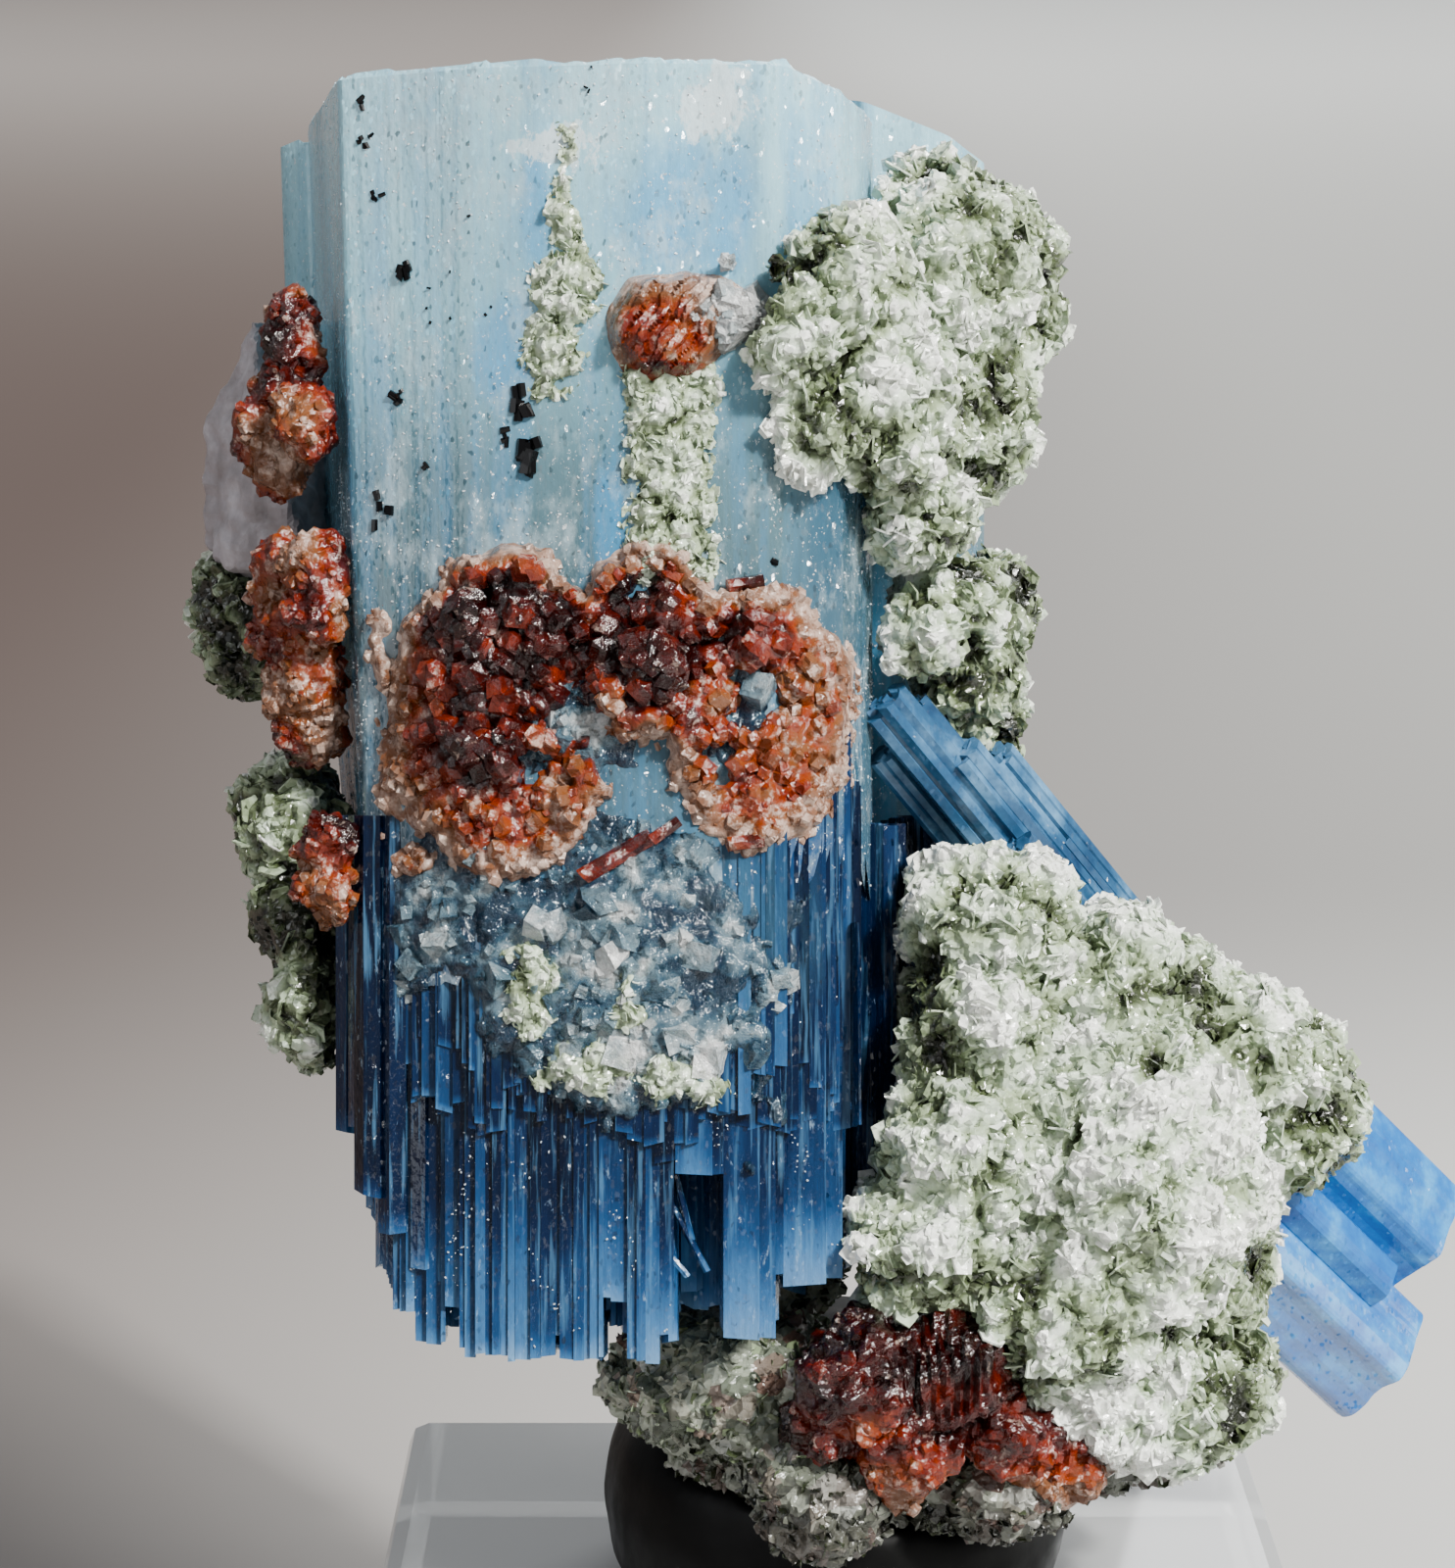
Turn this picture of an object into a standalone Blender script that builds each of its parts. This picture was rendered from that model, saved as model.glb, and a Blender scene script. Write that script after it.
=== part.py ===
"""Aquamarine with garnet and muscovite, a miniature mineral specimen set in putty on an acrylic block.

The block stands on the ground with the middle of its underside at the origin, +Z up, and the specimen
faces -Y. The specimen is modelled upright in a frame of its own, in millimetres: across (+X, to the
right), deep (+Y, away from the viewer) and up (+Z, along the main crystal's axis). Its middle is that
frame's origin, and the frame leans back in the putty.
"""

import math
import random

import bmesh
import bpy
from mathutils import Euler, Matrix, Vector, noise

MM = 0.001

# The acrylic block and the putty, in millimetres
BASE_SIDE = 25.4
BASE_THICK = 9.5
BASE_EDGE = 0.6
PUTTY_RADIUS = 6.2
PUTTY_HEIGHT = 7.2
PUTTY_STEPS = 32

# Where the specimen's frame stands over the block, and how far it leans back
SPECIMEN_ACROSS = -3.0
SPECIMEN_HEIGHT = 32.0
LEAN_DEG = 12.0

# Clear space kept between pieces that meet
GAP = 0.3

# The main crystal: a column above, whose left side steps in, and the rods that it splits into below
CRYSTAL_TOP = 18.0
CRYSTAL_AXIS = -4.1
CRYSTAL_FRONT = -7.2
CRYSTAL_CORE_FOOT = -9.5
ROD_HEAD = -1.5
ROD_OVERLAP = 0.08
FRONT_ROD_DEPTH = 0.95

# The crystal spray that crosses the mica: one way for its upper rods, one for the two at its free end
SPRAY_UPPER_WAY = Vector((8.2, 5.2, -9.6)).normalized()
SPRAY_LOWER_WAY = Vector((6.0, 4.5, -5.6)).normalized()


def clear_scene():
    for obj in list(bpy.data.objects):
        bpy.data.objects.remove(obj, do_unlink=True)


def linear(channel):
    return channel / 12.92 if channel <= 0.04045 else ((channel + 0.055) / 1.055) ** 2.4


def material(name, colour, roughness):
    """A plain finish in a colour read from the stone, as an sRGB hex value."""
    made = bpy.data.materials.new(name)
    made.use_nodes = True
    shader = made.node_tree.nodes["Principled BSDF"]
    channels = [linear(int(colour[i : i + 2], 16) / 255) for i in (1, 3, 5)]
    shader.inputs["Base Color"].default_value = (*channels, 1)
    shader.inputs["Roughness"].default_value = roughness
    shader.inputs["Metallic"].default_value = 0.0
    return made


def sized_object(name, bm, parent):
    """An object from a bmesh in millimetres."""
    mesh = bpy.data.meshes.new(name)
    bmesh.ops.scale(bm, vec=(MM, MM, MM), verts=bm.verts)
    bmesh.ops.recalc_face_normals(bm, faces=bm.faces)
    bm.to_mesh(mesh)
    bm.free()
    obj = bpy.data.objects.new(name, mesh)
    obj.parent = parent
    return obj


def hidden_group(name, shapes, grow, parent):
    """A collection of Boolean operands, which no render shows."""
    group = bpy.data.collections.new(name)
    bpy.context.scene.collection.children.link(group)
    for index, shape in enumerate(shapes):
        operand = sized_object(f"{name} {index}", shape(grow), parent)
        operand.hide_render = True
        operand.display_type = "WIRE"
        group.objects.link(operand)
    return group


def add_boolean(body, operation, group):
    modifier = body.modifiers.new(group.name, "BOOLEAN")
    modifier.operation = operation
    modifier.solver = "EXACT"
    modifier.operand_type = "COLLECTION"
    modifier.collection = group


def hulled(points):
    """A convex solid round some points."""
    bm = bmesh.new()
    for point in points:
        bm.verts.new(point)
    found = bmesh.ops.convex_hull(bm, input=bm.verts)
    inside = [part for part in found["geom_interior"] if isinstance(part, bmesh.types.BMVert)]
    bmesh.ops.delete(bm, geom=inside, context="VERTS")
    return bm


# Each shape below is a function of how much it grows. Ungrown it is the solid itself, and grown by
# the gap it is the cutter that clears a neighbour.


def rod(foot, head, half_width, half_depth, sides=6, turn=0.0, slope=0.0):
    """A straight many-sided crystal from foot to head. slope tips its head face across its width."""
    foot, head = Vector(foot), Vector(head)
    turned = (head - foot).to_track_quat("Z", "Y").to_matrix()

    def build(grow):
        points = []
        for end, along, tilt in ((foot, -grow, 0.0), (head, grow, slope)):
            for side in range(sides):
                angle = turn + math.tau * side / sides
                across = math.cos(angle) * (half_width + grow)
                deep = math.sin(angle) * (half_depth + grow)
                points.append(end + turned @ Vector((across, deep, along - across * tilt)))
        return hulled(points)

    return build


def column(outline, levels, axis, top_fall):
    """A prism through stacked levels, each a height and the share of the width kept left of the axis.

    top_fall gives how far the top face has dropped at a place across.
    """

    def build(grow):
        bm = bmesh.new()
        rings = []
        last = len(levels) - 1
        for index, (height, share) in enumerate(levels):
            lift = {0: grow, last: -grow}.get(index, 0.0)
            ring = []
            for across, deep in outline:
                across *= share if across < 0 else 1.0
                swell = 1 + grow / math.hypot(across, deep)
                drop = top_fall(axis + across) if index == 0 else 0.0
                ring.append(bm.verts.new((axis + across * swell, deep * swell, height + lift - drop)))
            rings.append(ring)
        count = len(outline)
        for upper, lower in zip(rings, rings[1:]):
            for i in range(count):
                j = (i + 1) % count
                bm.faces.new((upper[i], upper[j], lower[j], lower[i]))
        bm.faces.new(rings[0])
        bm.faces.new(rings[-1])
        bmesh.ops.triangulate(bm, faces=bm.faces)
        return bm

    return build


def lump(centre, radii):
    """A knobbly rounded mass."""
    centre = Vector(centre)
    knobbliness, knob_spacing = 0.16, 2.2

    def build(grow):
        bm = bmesh.new()
        bmesh.ops.create_icosphere(bm, subdivisions=2, radius=1.0)
        for vert in bm.verts:
            way = vert.co.normalized()
            swell = 1 + knobbliness * noise.noise(way * knob_spacing + centre)
            vert.co = centre + Vector(way[i] * (radii[i] * swell + grow) for i in range(3))
        return bm

    return build


def garnet(centre, radius, seed):
    """A twelve-faced garnet crystal, turned at random."""
    centre = Vector(centre)
    turned = Euler(random.Random(seed).uniform(0, math.tau) for _ in range(3)).to_matrix()
    corners = [Vector((x, y, z)) for x in (-1, 1) for y in (-1, 1) for z in (-1, 1)]
    tips = [Vector(2 * way * (k == axis) for k in range(3)) for axis in range(3) for way in (-1, 1)]

    def build(grow):
        size = (radius + grow) / 2
        return hulled(centre + turned @ (point * size) for point in corners + tips)

    return build


def block(corners):
    """A cleaved block between its corners."""
    corners = [Vector(corner) for corner in corners]
    middle = sum(corners, Vector()) / len(corners)
    corner_reach = 1.7

    def build(grow):
        return hulled(c + (c - middle).normalized() * grow * corner_reach for c in corners)

    return build


def dome(profile, foot):
    """A turned solid over foot, from (radius, height) pairs, the last of them the peak."""

    def build(grow):
        bm = bmesh.new()
        rings = []
        for radius, height in profile[:-1]:
            ring = []
            for step in range(PUTTY_STEPS):
                angle = math.tau * step / PUTTY_STEPS
                side = radius + grow
                ring.append(bm.verts.new((side * math.cos(angle), side * math.sin(angle), foot + height)))
            rings.append(ring)
        peak = bm.verts.new((0, 0, foot + profile[-1][1] + grow))
        bm.faces.new(rings[0])
        for i in range(PUTTY_STEPS):
            j = (i + 1) % PUTTY_STEPS
            for lower, upper in zip(rings, rings[1:]):
                bm.faces.new((lower[i], lower[j], upper[j], upper[i]))
            bm.faces.new((rings[-1][i], rings[-1][j], peak))
        return bm

    return build


def lumps(*rows):
    """Lumps from rows of across, deep, up and three radii."""
    return [lump(row[:3], row[3:]) for row in rows]


def garnets(seed, *rows):
    """Garnets from rows of across, deep, up and radius."""
    return [garnet(row[:3], row[3], seed + index) for index, row in enumerate(rows)]


def aquamarine_main():
    outline = (
        (-5.8, -4.7),
        (-2.5, -6.4),
        (2.1, CRYSTAL_FRONT),
        (5.1, -6.95),
        (7.0, -5.6),
        (7.8, -3.0),
        (8.0, 1.5),
        (7.1, 5.0),
        (3.4, 7.8),
        (-1.4, 8.4),
        (-5.6, 7.4),
        (-7.5, 3.9),
    )
    levels = ((CRYSTAL_TOP, 1.0), (5.0, 0.93), (-3.0, 0.84), (CRYSTAL_CORE_FOOT, 0.78))
    shapes = [column(outline, levels, CRYSTAL_AXIS, lambda across: 0.35 * max(0.0, across - 1.5))]
    # A smaller crystal stands against the back of the left side
    shapes.append(rod((-10.6, 5.4, 2.0), (-11.1, 5.6, CRYSTAL_TOP - 0.5), 1.5, 1.4, 6, 0.2))
    # The front row of rods, by left edge, right edge and foot
    for left, right, foot in (
        (-8.3, -7.4, -14.0),
        (-7.4, -6.4, -14.4),
        (-6.4, -5.5, -14.5),
        (-5.5, -4.3, -14.6),
        (-4.3, -3.1, -14.6),
        (-3.1, -2.4, -14.1),
        (-2.4, -1.3, -14.6),
        (-0.2, 1.2, -14.0),
        (1.3, 2.8, -12.6),
        (2.7, 3.4, -8.9),
    ):
        middle, half = (left + right) / 2, (right - left) / 2 + ROD_OVERLAP
        deep = CRYSTAL_FRONT + 0.7 + FRONT_ROD_DEPTH
        ends = (middle, deep, foot), (middle, deep, ROD_HEAD)
        shapes.append(rod(*ends, half, FRONT_ROD_DEPTH, 8, math.pi / 8))
    # On the left the rods end higher the further back they stand
    for across, deep, foot in ((-9.0, -4.0, -11.4), (-9.6, -1.8, -10.4), (-9.9, 0.6, -9.8)):
        shapes.append(rod((across, deep, foot), (across, deep, ROD_HEAD), 0.8, 1.2, 6, 0.3))
    # Rows of thicker rods behind the front one
    picks = random.Random(7)
    for row, deep in enumerate((-3.9, -1.4, 1.4, 4.1)):
        for place in range(6):
            across = -8.0 + 2.05 * place + 0.5 * (row % 2)
            foot = -12.6 + 0.55 * row + picks.uniform(-0.9, 0.9)
            ends = (across, deep, foot), (across, deep, -6.0)
            shapes.append(rod(*ends, 1.22, 1.55, 6, picks.uniform(0, 1)))
    return shapes


def aquamarine_back():
    return [rod((5.2, 6.5, -5.0), (5.2, 6.5, 18.3), 2.35, 2.6, slope=-0.4)]


def aquamarine_slanted():
    # The upper rods, by tip, length and radius. The first runs on through the mica to the lower two.
    upper = (
        ((5.9, -2.2, 0.8), 13.8, 0.75),
        ((3.95, -3.2, 2.2), 8.2, 0.75),
        ((4.5, -2.6, 2.0), 9.5, 0.75),
        ((4.0, -2.3, 0.9), 6.0, 0.55),
        ((6.9, -1.1, 0.7), 8.5, 0.7),
        ((8.6, -0.2, -1.5), 6.0, 0.6),
        ((7.4, -2.1, -1.6), 4.2, 0.65),
    )
    lower = (((13.3, 2.8, -6.9), 9.3, 1.9), ((12.6, 2.8, -10.9), 8.9, 1.9))
    shapes = []
    for rods, way in ((upper, SPRAY_UPPER_WAY), (lower, SPRAY_LOWER_WAY)):
        for index, (tip, length, radius) in enumerate(rods):
            shapes.append(rod(tip, Vector(tip) + way * length, radius, radius, 6, 0.35 * index, 0.12))
    # A third rod of the lower pair's size joins them inside the mica
    shapes.append(rod((12.4, 2.6, -8.4), (14.6, 4.8, -12.4), 1.5, 1.5, 6, 0.5))
    return shapes


def aquamarine_inner():
    return [
        rod((5.1, 0.7, -11.4), (4.9, 0.9, -0.8), 0.85, 1.1, turn=0.4),
        rod((6.1, 1.6, -10.2), (5.8, 1.8, -1.6), 0.8, 1.0, turn=0.1),
    ]


def garnet_front():
    """Two rings of small garnets side by side, with the largest where the rings meet."""
    rows = []
    # Each ring: middle across, middle up, half width, half height, count and depth
    for across, up, half_width, half_height, count, deep in (
        (-5.3, 1.8, 2.6, 3.7, 12, -7.35),
        (0.9, 1.9, 1.8, 2.8, 9, -7.65),
    ):
        for index in range(count):
            angle = math.tau * index / count
            side, rise = half_width * math.cos(angle), half_height * math.sin(angle)
            rows.append((across + side, deep, up + rise, 1.15))
    middle = ((-3.4, -7.6, 3.3, 1.3), (-2.4, -7.8, 2.2, 1.35), (-1.4, -7.7, 1.0, 1.1), (-4.9, -7.5, 4.0, 1.2))
    left_foot = ((-7.9, -6.7, 0.2, 1.05), (-8.0, -6.4, -1.1, 1.05), (-3.0, -7.4, -1.9, 0.95))
    slope = ((-8.7, -6.3, 2.8, 0.95), (-9.1, -5.9, 3.6, 0.9), (-9.4, -5.7, 4.4, 0.85))
    return garnets(100, *rows, *middle, *left_foot, *slope)


def garnet_upper():
    return garnets(210, (-1.6, -7.5, 11.3, 1.5), (-0.4, -7.5, 11.6, 1.3), (0.6, -7.4, 11.9, 0.9))


def garnet_left_upper():
    return garnets(
        230,
        (-11.2, -3.0, 12.2, 0.8),
        (-11.2, -3.1, 11.2, 0.9),
        (-11.4, -2.9, 10.2, 1.1),
        (-11.7, -2.7, 9.1, 1.3),
        (-10.7, -4.2, 9.2, 1.1),
        (-11.6, -2.9, 8.1, 0.9),
    )


def garnet_left_lower():
    return garnets(
        250,
        (-11.3, -2.9, 5.4, 1.35),
        (-10.5, -4.4, 5.5, 1.1),
        (-10.4, -4.5, 4.4, 1.0),
        (-11.0, -3.0, 4.0, 1.45),
        (-10.9, -3.0, 2.6, 1.3),
        (-10.8, -2.7, 1.4, 1.15),
    )


def garnet_edge():
    return garnets(280, (-10.1, -4.9, -1.6, 1.0), (-10.1, -4.7, -2.6, 1.0))


def garnet_bottom():
    return garnets(
        290,
        (3.6, -5.0, -15.0, 1.9),
        (5.6, -4.9, -14.8, 1.8),
        (6.9, -4.5, -16.3, 1.2),
        (4.5, -4.6, -16.6, 1.6),
        (2.6, -4.4, -16.3, 1.2),
        (8.7, -3.6, -17.5, 1.0),
        (7.7, -4.0, -17.0, 1.0),
    )


def schorl_upper():
    return [rod((-5.2, -7.45, 8.9), (-5.4, -7.45, 10.2), 0.36, 0.6, 6)]


def schorl_lower():
    return [rod((-4.7, -7.5, 7.4), (-4.9, -7.5, 8.4), 0.36, 0.6, 6)]


def feldspar_block():
    corners = (
        (-12.7, 1.4, 12.4),
        (-11.6, 4.4, 12.6),
        (-14.0, 2.0, 9.8),
        (-14.0, 2.2, 6.5),
        (-13.0, 0.4, 5.7),
        (-11.0, -0.4, 5.5),
        (-12.3, -0.6, 9.4),
        (-12.9, 5.6, 9.6),
        (-12.6, 5.6, 5.8),
        (-10.4, 4.8, 5.4),
    )
    return [block(corners)]


def mica_upper():
    return lumps(
        (5.4, -1.8, 13.6, 3.1, 3.4, 3.4),
        (3.0, -6.0, 12.2, 1.9, 2.0, 2.4),
        (4.1, -4.6, 9.4, 2.1, 2.4, 2.6),
        (6.0, -1.4, 9.8, 2.0, 2.8, 2.7),
        (6.9, -0.2, 12.7, 1.8, 2.6, 2.7),
        (5.6, -0.2, 15.4, 2.2, 2.6, 1.6),
        (4.7, -3.4, 7.0, 1.7, 1.9, 1.3),
        (1.5, -7.3, 11.3, 1.2, 1.1, 1.5),
        (2.4, -6.8, 8.9, 1.3, 1.2, 1.3),
    )


def mica_middle():
    return lumps(
        (5.9, -1.3, 4.5, 1.5, 2.0, 1.3),
        (5.1, -2.7, 3.8, 1.0, 1.6, 1.2),
        (6.9, 0.3, 4.6, 1.3, 1.7, 1.5),
        (6.3, -0.5, 2.8, 1.4, 1.6, 1.4),
        (6.8, 0.4, 1.4, 1.1, 1.5, 1.4),
    )


def mica_lower():
    return lumps(
        (10.2, -3.8, -10.0, 3.5, 3.8, 4.2),
        (12.6, 0.4, -7.2, 2.9, 3.3, 2.4),
        (9.9, -1.4, -5.6, 3.0, 3.2, 2.3),
        (8.6, -3.6, -13.2, 3.2, 3.0, 3.0),
        (12.0, -0.4, -12.2, 2.4, 3.4, 3.4),
        (6.9, -3.2, -3.5, 2.4, 2.6, 1.9),
        (6.5, -3.6, -6.2, 2.2, 2.5, 2.2),
        (15.0, 2.2, -8.6, 2.2, 3.0, 2.6),
        (6.4, -4.3, -9.4, 2.6, 2.6, 2.3),
        (5.0, -4.4, -11.7, 2.3, 2.2, 2.0),
        (10.8, -1.8, -16.0, 3.4, 3.2, 1.9),
        (12.5, 0.6, -15.6, 2.2, 2.8, 1.7),
    )


def mica_left_upper():
    return lumps(
        (-13.3, 2.6, 5.0, 1.2, 1.7, 1.4),
        (-13.1, 2.8, 3.6, 1.2, 1.6, 1.3),
        (-12.3, 2.2, 4.2, 1.3, 1.6, 1.6),
    )


def mica_left_lower():
    return lumps(
        (-11.5, -0.2, -1.1, 1.6, 2.0, 1.9),
        (-11.2, -0.6, -3.5, 1.3, 1.9, 1.7),
        (-10.9, -0.8, -5.9, 1.2, 1.9, 1.6),
    )


def mica_seam():
    return lumps(
        (-3.9, -7.3, 15.4, 0.6, 0.9, 1.3),
        (-4.0, -7.3, 13.6, 0.7, 0.9, 1.3),
        (-4.3, -7.2, 11.9, 0.9, 1.1, 1.3),
        (-4.2, -7.2, 10.5, 0.8, 1.0, 1.1),
    )


def mica_pillar():
    return lumps(
        (-1.8, -7.3, 9.3, 1.1, 1.1, 1.1),
        (-1.5, -7.3, 7.9, 1.1, 1.1, 1.2),
        (-1.4, -7.3, 6.6, 1.0, 1.1, 1.1),
    )


def mica_crust():
    return lumps(
        (-2.4, -7.2, -4.4, 1.2, 1.1, 1.4),
        (-3.6, -7.1, -6.0, 1.2, 1.1, 1.3),
        (-1.4, -7.2, -6.8, 1.3, 1.2, 1.3),
        (-2.6, -7.1, -7.8, 1.1, 1.0, 1.0),
    )


def matrix():
    return lumps(
        (4.6, -0.2, -16.9, 6.4, 3.6, 2.6),
        (9.2, 0.2, -16.5, 4.6, 3.8, 2.1),
        (0.2, -1.2, -15.6, 3.4, 3.0, 2.0),
        (2.4, -3.2, -18.0, 1.9, 1.9, 1.9),
        (7.0, -2.4, -18.1, 1.8, 1.9, 1.5),
        (0.5, 1.0, -12.4, 2.8, 2.8, 2.4),
    )


def display_base(finish):
    bm = bmesh.new()
    bmesh.ops.create_cube(bm, size=1.0)
    bmesh.ops.scale(bm, vec=(BASE_SIDE, BASE_SIDE, BASE_THICK), verts=bm.verts)
    bmesh.ops.translate(bm, vec=(0, 0, BASE_THICK / 2), verts=bm.verts)
    body = sized_object("display_base", bm, None)
    bpy.context.scene.collection.objects.link(body)
    body.data.materials.append(finish)
    bevel = body.modifiers.new("polished edge", "BEVEL")
    bevel.width = BASE_EDGE * MM
    bevel.segments = 2


def putty_mount():
    """A ball of putty pressed down onto the block, a gap above it."""
    profile = (
        (PUTTY_RADIUS - 0.9, 0.0),
        (PUTTY_RADIUS - 0.2, 0.9),
        (PUTTY_RADIUS, 2.3),
        (PUTTY_RADIUS - 0.35, 3.9),
        (PUTTY_RADIUS - 1.5, 5.6),
        (PUTTY_RADIUS - 3.5, 6.8),
        (0.0, PUTTY_HEIGHT),
    )
    return [dome(profile, BASE_THICK + GAP)]


# Every piece of the specimen in the order that it takes its room, and the earlier pieces it keeps off
CRYSTALS = ("aquamarine_main", "aquamarine_back", "aquamarine_slanted", "aquamarine_inner")
PIECES = (
    (aquamarine_main, "beryl", ()),
    (aquamarine_back, "pale beryl", CRYSTALS[:1]),
    (aquamarine_slanted, "deep beryl", CRYSTALS[:2]),
    (aquamarine_inner, "deep beryl", CRYSTALS[:3]),
    (garnet_front, "garnet", CRYSTALS[:1]),
    (garnet_upper, "garnet", CRYSTALS[:1]),
    (garnet_left_upper, "garnet", CRYSTALS[:1]),
    (garnet_left_lower, "garnet", (*CRYSTALS[:1], "garnet_front")),
    (garnet_edge, "garnet", CRYSTALS[:1]),
    (garnet_bottom, "garnet", CRYSTALS),
    (schorl_upper, "schorl", CRYSTALS[:1]),
    (schorl_lower, "schorl", (*CRYSTALS[:1], "schorl_upper")),
    (feldspar_block, "feldspar", (*CRYSTALS[:1], "garnet_left_upper", "garnet_left_lower")),
    (mica_upper, "mica", (*CRYSTALS, "garnet_upper")),
    (mica_middle, "mica", (*CRYSTALS, "mica_upper")),
    (mica_lower, "mica", (*CRYSTALS, "mica_middle", "garnet_bottom")),
    (mica_left_upper, "mica", (*CRYSTALS[:1], "garnet_left_lower", "feldspar_block")),
    (mica_left_lower, "mica", (*CRYSTALS[:1], "garnet_left_lower", "garnet_edge")),
    (mica_seam, "mica", (*CRYSTALS[:1], "schorl_upper", "garnet_upper")),
    (mica_pillar, "mica", (*CRYSTALS[:1], "garnet_upper", "garnet_front", "mica_upper")),
    (mica_crust, "mica", (*CRYSTALS[:1], "garnet_front")),
    (matrix, "matrix", (*CRYSTALS, "garnet_bottom", "mica_lower")),
)
PRESSED_INTO_PUTTY = ("matrix", "garnet_bottom", "mica_lower")


def build_piece(name, shapes, finish, parent, cutters):
    """One node: its shapes joined, then cleared of the pieces that it keeps off."""
    body = sized_object(name, shapes[0](0.0), parent)
    bpy.context.scene.collection.objects.link(body)
    body.data.materials.append(finish)
    if len(shapes) > 1:
        add_boolean(body, "UNION", hidden_group(name + " parts", shapes[1:], 0.0, parent))
    for cutter in cutters:
        add_boolean(body, "DIFFERENCE", cutter)


def main():
    clear_scene()
    finishes = {
        "beryl": material("beryl, pale above and deep blue below", "#7fa6b8", 0.25),
        "pale beryl": material("pale beryl", "#9fc4d2", 0.3),
        "deep beryl": material("deep blue beryl", "#356694", 0.2),
        "garnet": material("spessartine garnet", "#6f2a17", 0.22),
        "schorl": material("black schorl", "#14151a", 0.3),
        "feldspar": material("grey feldspar", "#a8a4a6", 0.5),
        "mica": material("muscovite mica", "#c3cab4", 0.35),
        "matrix": material("granular feldspar and mica", "#8f9690", 0.6),
        "putty": material("black putty", "#131313", 0.45),
        "acrylic": material("clear acrylic", "#dfe5e6", 0.1),
    }
    specimen = bpy.data.objects.new("specimen", None)
    bpy.context.scene.collection.objects.link(specimen)
    place = Matrix.Translation((SPECIMEN_ACROSS * MM, 0, SPECIMEN_HEIGHT * MM))
    specimen.matrix_world = place @ Matrix.Rotation(-math.radians(LEAN_DEG), 4, "X")

    kept_off = {name for _, _, names in PIECES for name in names} | set(PRESSED_INTO_PUTTY)
    grown = {}
    for piece, finish, neighbours in PIECES:
        name, shapes = piece.__name__, piece()
        cutters = [grown[neighbour] for neighbour in neighbours]
        build_piece(name, shapes, finishes[finish], specimen, cutters)
        if name in kept_off:
            grown[name] = hidden_group(name + " grown", shapes, GAP, specimen)

    display_base(finishes["acrylic"])
    pressed_in = [grown[name] for name in PRESSED_INTO_PUTTY]
    build_piece("putty_mount", putty_mount(), finishes["putty"], None, pressed_in)


main()
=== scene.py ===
"""The looks of a miniature mineral specimen: aquamarine grown with garnet and muscovite mica.

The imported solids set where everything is. Most pieces are worked out in the specimen's own frame, in
millimetres: across (to the right), deep (away from the viewer) and up (along the main crystal's axis).
"""

import math
import random

import bmesh
import bpy
from mathutils import Matrix, Vector, noise


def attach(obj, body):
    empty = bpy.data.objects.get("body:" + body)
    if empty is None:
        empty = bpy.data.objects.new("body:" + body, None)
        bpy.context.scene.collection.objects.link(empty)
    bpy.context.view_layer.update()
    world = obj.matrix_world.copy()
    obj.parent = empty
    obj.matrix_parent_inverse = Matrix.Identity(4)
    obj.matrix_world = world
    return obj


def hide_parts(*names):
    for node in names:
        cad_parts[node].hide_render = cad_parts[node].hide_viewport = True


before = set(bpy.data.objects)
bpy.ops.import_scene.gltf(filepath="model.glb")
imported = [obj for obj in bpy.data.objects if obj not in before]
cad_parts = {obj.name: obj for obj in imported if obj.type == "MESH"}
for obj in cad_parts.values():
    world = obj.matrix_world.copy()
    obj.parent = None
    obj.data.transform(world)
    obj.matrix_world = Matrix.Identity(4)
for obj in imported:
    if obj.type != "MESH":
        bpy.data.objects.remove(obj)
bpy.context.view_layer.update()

# Camera and light: a macro view that faces the specimen squarely. The specimen leans back, so the camera
# stands a little higher and looks down by the same angle. One strong light comes from the upper right, with a
# small bright one beside it that glints off facets. A broad soft one comes from the left, and one shines
# through the crystals from behind.
MM = 0.001
SPECIMEN_ACROSS, SPECIMEN_HEIGHT, LEAN_DEG = -3.0, 32.0, 12.0
VIEW_DISTANCE = 110.0
MM_PER_PIXEL = 0.026
IMAGE_HEIGHT_PX = 1600
SENSOR_MM = 36.0

lean = Matrix.Rotation(-math.radians(LEAN_DEG), 4, "X")
stand = Matrix.Translation((SPECIMEN_ACROSS, 0, SPECIMEN_HEIGHT)) @ lean
in_metres = Matrix.Scale(MM, 4)
to_specimen = (in_metres @ stand).inverted()
middle = in_metres @ stand @ Vector((0, 0, 0))

lens = bpy.data.cameras.new("macro lens")
lens.sensor_width = SENSOR_MM
lens.lens = SENSOR_MM * VIEW_DISTANCE / (MM_PER_PIXEL * IMAGE_HEIGHT_PX)
lens.clip_start = 0.001
camera = bpy.data.objects.new("camera", lens)
camera.location = in_metres @ stand @ Vector((0, -VIEW_DISTANCE, 0))
camera.rotation_euler = (math.radians(90 - LEAN_DEG), 0, 0)
bpy.context.scene.collection.objects.link(camera)
bpy.context.scene.camera = camera


def area_light(name, place_mm, size_mm, power, colour):
    """A square soft box aimed at the specimen."""
    light = bpy.data.lights.new(name, "AREA")
    light.size = size_mm * MM
    light.energy = power
    light.color = colour
    lamp = bpy.data.objects.new(name, light)
    lamp.location = Vector(place_mm) * MM
    lamp.rotation_euler = (middle - lamp.location).to_track_quat("-Z", "Y").to_euler()
    bpy.context.scene.collection.objects.link(lamp)


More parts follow.
